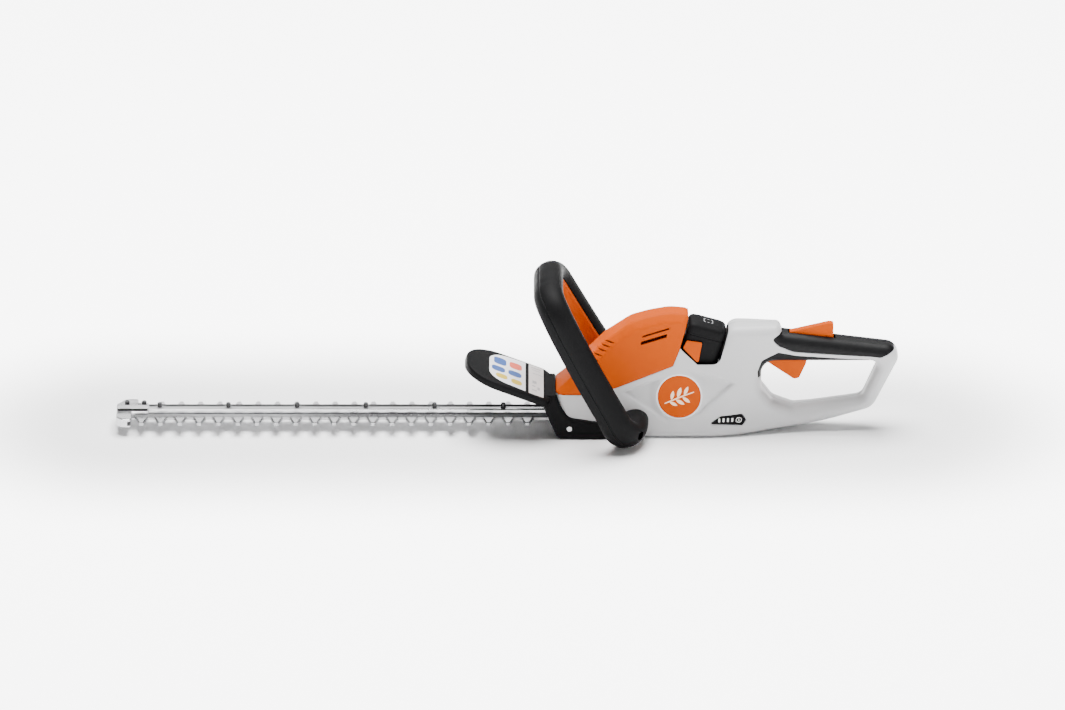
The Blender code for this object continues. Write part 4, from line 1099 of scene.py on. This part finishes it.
def make_hand_guard(colours):
    guard = jacket("hand_guard_skin", rounded(BASE_OUTLINE), BASE_THICKNESS, 2.2, colours["black_plastic"])
    half = GUARD_HALF_WIDTH
    place = guard_place()
    plate_outline = divided(rounded([(9, -half, 14), (9, half, 14), (-GUARD_LENGTH, half, 40),
                                     (-GUARD_LENGTH, -half, 40)], 6), 6.0)
    levels = [(-7.5, 1.1), (-7.3, 0.4), (-6.7, 0.0), (-1.6, 0.0), (-0.3, 0.25), (0.6, 0.9), (1.1, 1.9),
              (PLATE_TOP, 3.4)]
    plate = layered("guard_plate", plate_outline, levels, "XY", colours["black_plastic"], None, place=place)
    hollow_outline = divided(moved_in(plate_outline, 2.6), 6.0)
    hollow = layered("guard_hollow", hollow_outline, [(-12, 0), (-2.4, 0), (-1.6, 0.8)], "XY",
                     colours["black_plastic"], None, place=place)
    boolean(plate, "DIFFERENCE", hollow)
    boolean(guard, "UNION", plate)
    cutters = [block("guard_mouth", (-135, -18, 11.5), (-60, 18, 24), colours["black_plastic"])]
    for side in (-1, 1):
        x, z = GUARD_SCREW
        place_of_screw = (x, side * (float(half_width(x, z)) + BASE_THICKNESS), z)
        cutters.append(turned("guard_screw_seat", [(0, 3), (3.7, 3), (3.5, -1.5), (0, -1.5)],
                              place_of_screw, (0, side, 0), colours["black_plastic"], None))
        screw = turned("guard_screw_head", screw_profile(3.2, 0.3, -2.4), place_of_screw, (0, side, 0),
                       colours["steel"], "tool")
        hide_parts("guard_screw_" + ("left" if side < 0 else "right"))
    boolean(guard, "DIFFERENCE", *cutters)
    resharpen(guard, 40.0)
    belong(guard, "tool")
    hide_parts("hand_guard")
    make_stickers(colours, place)


def make_stickers(colours, place):
    """Two plain stickers on the guard, with coloured shapes in place of pictures and text."""
    pale = rounded([(-23, -42, 1), (-23, 44, 1), (-67, 40, 24), (-67, -37, 26)], 8)
    grey = rounded([(-1, -43, 1), (-1, 44, 1), (-19, 44, 1), (-19, -43, 1)])
    stickers = [("guard_label_pale", pale, "label", PLATE_TOP, STICKER_TOP),
                ("guard_label_grey", grey, "label_grey", PLATE_TOP, STICKER_TOP)]
    for u, v, long, wide, tint in ((-54, 21, 15, 20, "label_blue"), (-56, -3, 16, 15, "label_blue"),
                                   (-35, 22, 15, 18, "label_red"), (-36, -2, 16, 15, "label_blue"),
                                   (-52, -22, 14, 13, "label_yellow"), (-34, -25, 13, 14, "label_yellow")):
        mark = rounded_box(u - long / 2, v - wide / 2, u + long / 2, v + wide / 2, 5)
        stickers.append(("guard_mark", mark, tint, STICKER_TOP, PRINT_TOP))
    for u, v, long, wide in ((-10, 36, 12, 1.6), (-10, 30, 10, 1.2), (-8, 20, 13, 1.2), (-12, -6, 5, 8),
                             (-13, -18, 4, 3), (-7, -22, 3, 8), (-12, -30, 6, 2.5)):
        mark = rectangle(u - long / 2, v - wide / 2, u + long / 2, v + wide / 2)
        stickers.append(("guard_bar_mark", mark, "label_bar", STICKER_TOP, PRINT_TOP))
    for name, outline, tint, low, high in stickers:
        layered(name, outline, [(low, 0), (high, 0)], "XY", colours[tint], "tool", place)


def screw_profile(radius, top, bottom):
    """A pan head with a round drive recess, on its shank."""
    return [(0, top - 1.1), (radius * 0.36, top - 1.1), (radius * 0.42, top - 0.2), (radius * 0.6, top),
            (radius * 0.86, top - 0.15), (radius, top - 0.6), (radius, top - 1.5), (radius * 0.5, top - 1.5),
            (radius * 0.5, bottom), (0, bottom)]


# ---------------------------------------------------------------- blades

def blade_outline():
    """Half outline of a blade seen from above, for y > 0, from the tip to the tail."""
    edge = [(FIRST_TOOTH_X - 9, 10, 3)]
    for i in range(TOOTH_COUNT):
        x = FIRST_TOOTH_X + TOOTH_PITCH * i
        for dx, y, radius in ((-TOOTH_ROOT, BLADE_HALF_WIDTH, 2.2), (-TOOTH_TIP, TOOTH_TIP_Y, 0.9),
                              (TOOTH_TIP, TOOTH_TIP_Y, 0.9), (TOOTH_ROOT, BLADE_HALF_WIDTH, 2.2)):
            edge.append((x + dx, y, radius))
    edge += [(-118, BLADE_HALF_WIDTH, 0), (CRANK_X - YOKE_HALF_LENGTH, BLADE_HALF_WIDTH, 0),
             (CRANK_X - YOKE_SHOULDER, YOKE_HALF_WIDTH, 0), (CRANK_X + YOKE_HALF_LENGTH, YOKE_HALF_WIDTH, 0)]
    return edge


def slot_outline(x, y, length, width):
    """A slot with round ends, centred on a place; length is its full length."""
    half = length / 2
    return rounded_box(x - half, y - width / 2, x + half, y + width / 2, width / 2, 20)


def make_blades(colours):
    half = blade_outline()
    outline = rounded(half + [(x, -y, radius) for x, y, radius in reversed(half)], 22)
    long, wide = YOKE_WINDOW
    window = rounded_box(CRANK_X - long, -wide, CRANK_X + long, wide, 3)
    slots = [slot_outline(x, BAR_BOLT_Y, 17.5, 5.2) for x in BAR_BOLT_X]
    lower = layered("lower_blade_ground", [outline, window] + slots,
                    [(13.0, 0.9), (13.9, 0.0), (14.8, 0.0), (15.0, 0.15)], "XY", colours["steel"],
                    "lower_blade", smooth=20)
    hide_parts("lower_blade")
    upper = layered("upper_blade_ground", [outline, window] + slots,
                    [(15.3, 0.15), (15.5, 0.0), (16.3, 0.0), (17.3, 0.9)], "XY", colours["steel"], None,
                    smooth=20)
    groove = [(-6.4, 17.2), (-6.6, 15.0), (-5.6, 12.9), (-3.4, 12.2), (3.4, 12.2), (5.6, 12.9),
              (6.6, 15.0), (6.4, 17.2), (5.3, 16.4), (5.2, 14.8), (4.6, 13.9), (3.2, 13.4),
              (-3.2, 13.4), (-4.6, 13.9), (-5.2, 14.8), (-5.3, 16.4)]
    arches = []
    for i in range(TOOTH_COUNT):
        x = FIRST_TOOTH_X + TOOTH_PITCH * i
        for side in (-1, 1):
            loop = [(x + dx, side * y) for dx, y in groove]
            if area(loop) < 0:
                loop.reverse()
            # the groove cutters carry the near-black groove colour, painted shade for the inside of the
            # grooves
            arches.append(layered("tooth_groove", loop, [(16.6, 0), (18.0, 0)], "XY", colours["groove"],
                                  None))
    boolean(upper, "DIFFERENCE", joined("tooth_grooves", arches))
    resharpen(upper, 20)
    belong(upper, "upper_blade")
    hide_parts("upper_blade")

    near, far = BAR_SIDES
    holes = [circle(2.3, 16, (x, BAR_BOLT_Y)) for x in BAR_BOLT_X]
    bar = layered("guide_bar_ground", [divided(rectangle(BAR_ENDS[0], near, BAR_ENDS[1], far), 40)] + holes,
                  [(17.6, 0.4), (18.0, 0), (21.5, 0), (21.85, 0.15), (22.0, 0.5)], "XY",
                  colours["steel"], "tool", smooth=30)
    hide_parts("guide_bar")
    # the rim is painted dark, as the shade on its near face
    layered("guide_bar_rim", rectangle(BAR_ENDS[0], BAR_RIM[0], BAR_ENDS[1], far),
            [(21.5, 0), (23.2, 0), (BAR_RIM[1], 0.2)], "XY", colours["dark_steel_and_painted_shade"], "tool")
    for index, x in enumerate(BAR_BOLT_X):
        bolt = turned("bar_bolt_head_%d" % (index + 1),
                      [(0, 26.5), (0.9, 26.5), (1.2, 27.0), (2.1, 26.8), (2.5, 26.3), (2.6, 25.6),
                       (2.6, 22.3), (2.0, 22.3), (2.0, 12.4), (4.4, 12.4), (4.4, 10.4), (4.0, 10),
                       (0, 10)],
                      (x, BAR_BOLT_Y, 0), (0, 0, 1), colours["dark_steel_and_painted_shade"], "tool", sides=20)
        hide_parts("bar_bolt_%d" % (index + 1))

    tip = layered("tip_guard_ground", rounded(TIP_GUARD_OUTLINE, 10), soft_levels(*TIP_GUARD_HEIGHTS),
                  "XY", colours["steel"], None, smooth=30)
    # the stem under the ridge's cap is painted near-black, as the shade beneath the cap's overhang
    layered("tip_ridge_stem", rectangle(-608.4, -3.2, -573.6, 3.6), [(19, 0), (23, 0)], "XY",
            colours["groove"], "tool")
    ridge_near, ridge_far, ridge_top = TIP_RIDGE
    layered("tip_ridge_cap", rectangle(-609, ridge_near, -573, ridge_far),
            [(22.9, 0.1), (23.0, 0), (23.6, 0), (23.9, 0.15), (ridge_top, 0.5)], "XY", colours["steel"],
            "tool")
    boolean(tip, "DIFFERENCE", block("tip_slot", (-596, -40, 12.6), (-560, 40, 17.7), colours["dark_steel_and_painted_shade"]))
    resharpen(tip, 30)
    belong(tip, "tool")
    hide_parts("tip_guard")
    for index, (x, y) in enumerate(TIP_BOLTS):
        bolt = turned("tip_bolt_head_%d" % (index + 1),
                      [(0, 25.2), (1.1, 25.2), (1.4, 26), (2.2, 25.8), (2.7, 25.2), (2.8, 24.4), (2.8, 20.7),
                       (0, 20.7)], (x, y, 0), (0, 0, 1), colours["dark_steel_and_painted_shade"], "tool", sides=20)
        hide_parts("tip_bolt_%d" % (index + 1))


def joined(name, pieces):
    """Several separate bodies as one mesh."""
    shape = bmesh.new()
    for piece in pieces:
        piece.data.transform(piece.matrix_world)
        shape.from_mesh(piece.data)
    mesh = bpy.data.meshes.new(name)
    shape.to_mesh(mesh)
    shape.free()
    mesh.materials.append(pieces[0].data.materials[0])
    made = bpy.data.objects.new(name, mesh)
    bpy.context.scene.collection.objects.link(made)
    for piece in pieces:
        bpy.data.objects.remove(piece, do_unlink=True)
    return made


# ---------------------------------------------------------------- battery, latches, badges and panel

def make_battery(colours):
    width, depth, _ = BATTERY_SIZE
    outline = divided(rounded_box(-width / 2, -depth / 2, width / 2, depth / 2, 8, 10), 6)
    levels = [(1.5, 0), (0.4, 0.5), (0, 1.5), (0, 74.4), (0.55, 74.8), (0.55, 75.6), (0, 76.0),
              (0, 82.5), (0.35, 84.6), (1.3, 86.2), (2.6, 87.2)]
    sections = [[in_battery(x, y, height) for x, y in moved_in(outline, inset)] for inset, height in levels]
    for scale, height in ((0.80, 88.0), (0.62, 88.6), (0.4, 89.0), (0.15, 89.2)):
        sections.append([in_battery(x * scale, y * scale, height) for x, y in outline])
    battery = swept("battery_case", sections, colours["black_plastic"], "battery", 30)
    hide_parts("battery")
    place = battery_frame()
    for u in (-4.2, 0.0, 4.2):
        layered("battery_mark", rounded_box(u - 1.2, -5, u + 1.2, 5, 0.6), [(88.4, 0), (89.15, 0)], "XY",
                colours["label_bar"], "battery", place)


def make_side_pieces(colours):
    for tag, side in (("left", -1), ("right", 1)):
        place = on_side(*BADGE_CENTRE, side)
        disc = turned("badge_disc_" + tag, [(0, -0.6), (24.4, -0.6), (24.4, 0.15), (24.1, 0.5),
                                            (23.3, 0.7), (22.6, 0.62), (0, 0.62)],
                      (0, 0, 0), (0, 0, 1), colours["orange_plastic"], None, 96)
        disc.matrix_world = place
        belong(disc, "tool")
        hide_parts("badge_" + tag)
        # the ring is the housing's white rim round the badge, painted lighter as a highlight
        ring = turned("badge_ring_painted_highlight_" + tag, [(24.6, -0.8), (26.6, -0.8), (26.4, -0.1), (25.8, 0.3),
                                            (25.0, 0.3), (24.6, -0.05)],
                      (0, 0, 0), (0, 0, 1), colours["badge_ring_painted_highlight"], None, 96)
        ring.matrix_world = place
        belong(ring, "tool")
        stem = rounded([(-17, -7.4, 0.5), (-16.6, -8.4, 0.5), (0, -1.6, 20), (17, 5.2, 0.5),
                        (16.6, 6.2, 0.5), (0, 0.2, 20)])
        shapes = [stem]
        for u, v, long, angle in ((-9, -3.6, 11, 78), (-2, -0.8, 12.5, 72), (5.5, 2, 11, 66),
                                  (-4, -3.2, 11.5, -30), (3.5, -0.4, 11, -36), (-11, -6, 10, -26)):
            shapes.append(leaf(u, v, long, long * 0.36, angle))
        for index, shape in enumerate(shapes):
            layered("badge_emblem_%s_%d" % (tag, index), shape, [(0.5, 0), (0.8, 0), (0.88, 0.12)], "XY",
                    colours["emblem"], "tool", place)
    place = on_side(*PANEL_CENTRE, -1)
    windows = [(-11.0 + 5.0 * i, 0.2) for i in range(4)]
    holes = [rectangle(x - 1.5, z - 2.5, x + 1.5, z + 2.5) for x, z in windows]
    button_at = (11.5, 0.3)
    holes.append(circle(4.3, 36, button_at))
    panel = layered("indicator_panel_skin", [panel_outline()] + holes,
                    [(-1.0, 0), (0.2, 0), (0.4, 0.1), (0.5, 0.3)],
                    "XY", colours["black_plastic"], "tool", place)
    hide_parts("indicator_panel")
    for index, (x, z) in enumerate(windows):
        shape = rounded([(x - 1.2, z - 2.2, 0.4), (x + 0.8, z - 2.2, 0.4), (x + 1.2, z + 2.2, 0.4),
                         (x - 0.8, z + 2.2, 0.4)])
        light = layered("charge_window_%d" % (index + 1), shape, [(-0.9, 0), (0.5, 0), (0.7, 0.25)], "XY",
                        colours["light_window"], "tool", place)
        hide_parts("charge_light_%d" % (index + 1))
    middle = place @ Matrix.Translation(Vector((*button_at, 0)) * MM)
    button = turned("indicator_button_cap",
                    [(0, -2), (3.9, -2), (3.9, 0.5), (3.7, 0.95), (3.2, 1.1), (0, 0.9)],
                    (0, 0, 0), (0, 0, 1), colours["black_plastic"], None, 48)
    mark = turned("indicator_button_ring", [(2.5, 0.8), (3.3, 0.8), (3.25, 1.15), (2.95, 1.2), (2.6, 1.15)],
                  (0, 0, 0), (0, 0, 1), colours["light_window"], None, 48)
    bar = layered("indicator_button_bar", rounded_box(-0.4, -1.5, 0.4, 1.5, 0.35),
                  [(0.7, 0), (1.1, 0), (1.18, 0.1)], "XY", colours["light_window"], None)
    for piece in (button, mark, bar):
        piece.matrix_world = middle
        belong(piece, "indicator_button")
    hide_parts("indicator_button")
    latch = rounded([(-8.9, 0.6, 1.6), (8.4, -17.6, 1.8), (13.0, 6.8, 1.6), (-4.6, 9.2, 1.6)])
    mirrored = [(-x, z) for x, z in reversed(latch)]
    for tag, side, outline in (("left", -1, latch), ("right", 1, mirrored)):
        made = layered("latch_key_" + tag, outline,
                       [(-1.6, 0), (-0.5, 0), (-0.05, 0.15), (0.14, 0.4), (0.2, 0.75)], "XY",
                       colours["orange_plastic"], "latch_" + tag,
                       on_side(*LATCH_CENTRE, side))
        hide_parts("latch_" + tag)


def leaf(x, y, long, wide, angle):
    """A pointed oval starting at a place and running at an angle."""
    turn = math.radians(angle)
    half = []
    for k in range(9):
        t = k / 8
        half.append((long * t, wide / 2 * math.sin(math.pi * t) ** 0.8))
    loop = half + [(u, -v) for u, v in reversed(half[1:-1])]
    loop = [(x + u * math.cos(turn) - v * math.sin(turn), y + u * math.sin(turn) + v * math.cos(turn))
            for u, v in loop]
    if area(loop) < 0:
        loop.reverse()
    return loop


# ---------------------------------------------------------------- rear handle controls

def make_controls(colours):
    trigger_side = rounded([(132.5, 102, 3), (142, 102, 3), (150, 93, 4), (179, 88, 1.5), (178, 79, 10),
                            (170, 61, 3), (164, 59.5, 4), (133, 81, 3)], 6)
    trigger = layered("trigger_key", [trigger_side, circle(2.4, 24, TRIGGER_PIVOT)],
                      soft_levels(-5, 5, 1.3), "XZ", colours["orange_plastic"], "trigger")
    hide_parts("trigger")
    lever_side = rounded([(158.5, 117.6, 1), (203, 128.2, 3), (208.5, 127.6, 2), (208.5, 105, 2),
                          (203, 105, 2), (199, 111, 3), (171, 101, 3), (158.5, 101, 3)], 6)
    lever = layered("lockout_key", [lever_side, circle(2.0, 24, LOCKOUT_PIVOT)],
                    soft_levels(-4.6, 4.6, 1.2), "XZ", colours["orange_plastic"], "lockout")
    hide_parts("lockout_lever")


def make_housing_screws(colours):
    for index, (x, z) in enumerate(HOUSING_SCREWS):
        surface = float(half_width(x, z)) - 1.2
        screw = turned("housing_screw_head_%d" % (index + 1), screw_profile(3.2, -0.2, -12), (x, surface, z),
                       (0, 1, 0), colours["steel"], "tool")
        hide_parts("housing_screw_%d" % (index + 1))


# ---------------------------------------------------------------- running the build

def main():
    make_camera()
    make_studio()
    colours = make_materials()
    record = frame["record"]
    slots = {row["node"]: row["material_slot"] for row in record["subparts"]}
    for node, made in frame["nodes"].items():
        made.data.materials.clear()
        made.data.materials.append(colours[slots[node]])
    make_shells(colours)
    make_bow(colours)
    make_hand_guard(colours)
    make_blades(colours)
    make_battery(colours)
    make_side_pieces(colours)
    make_controls(colours)
    make_housing_screws(colours)


main()
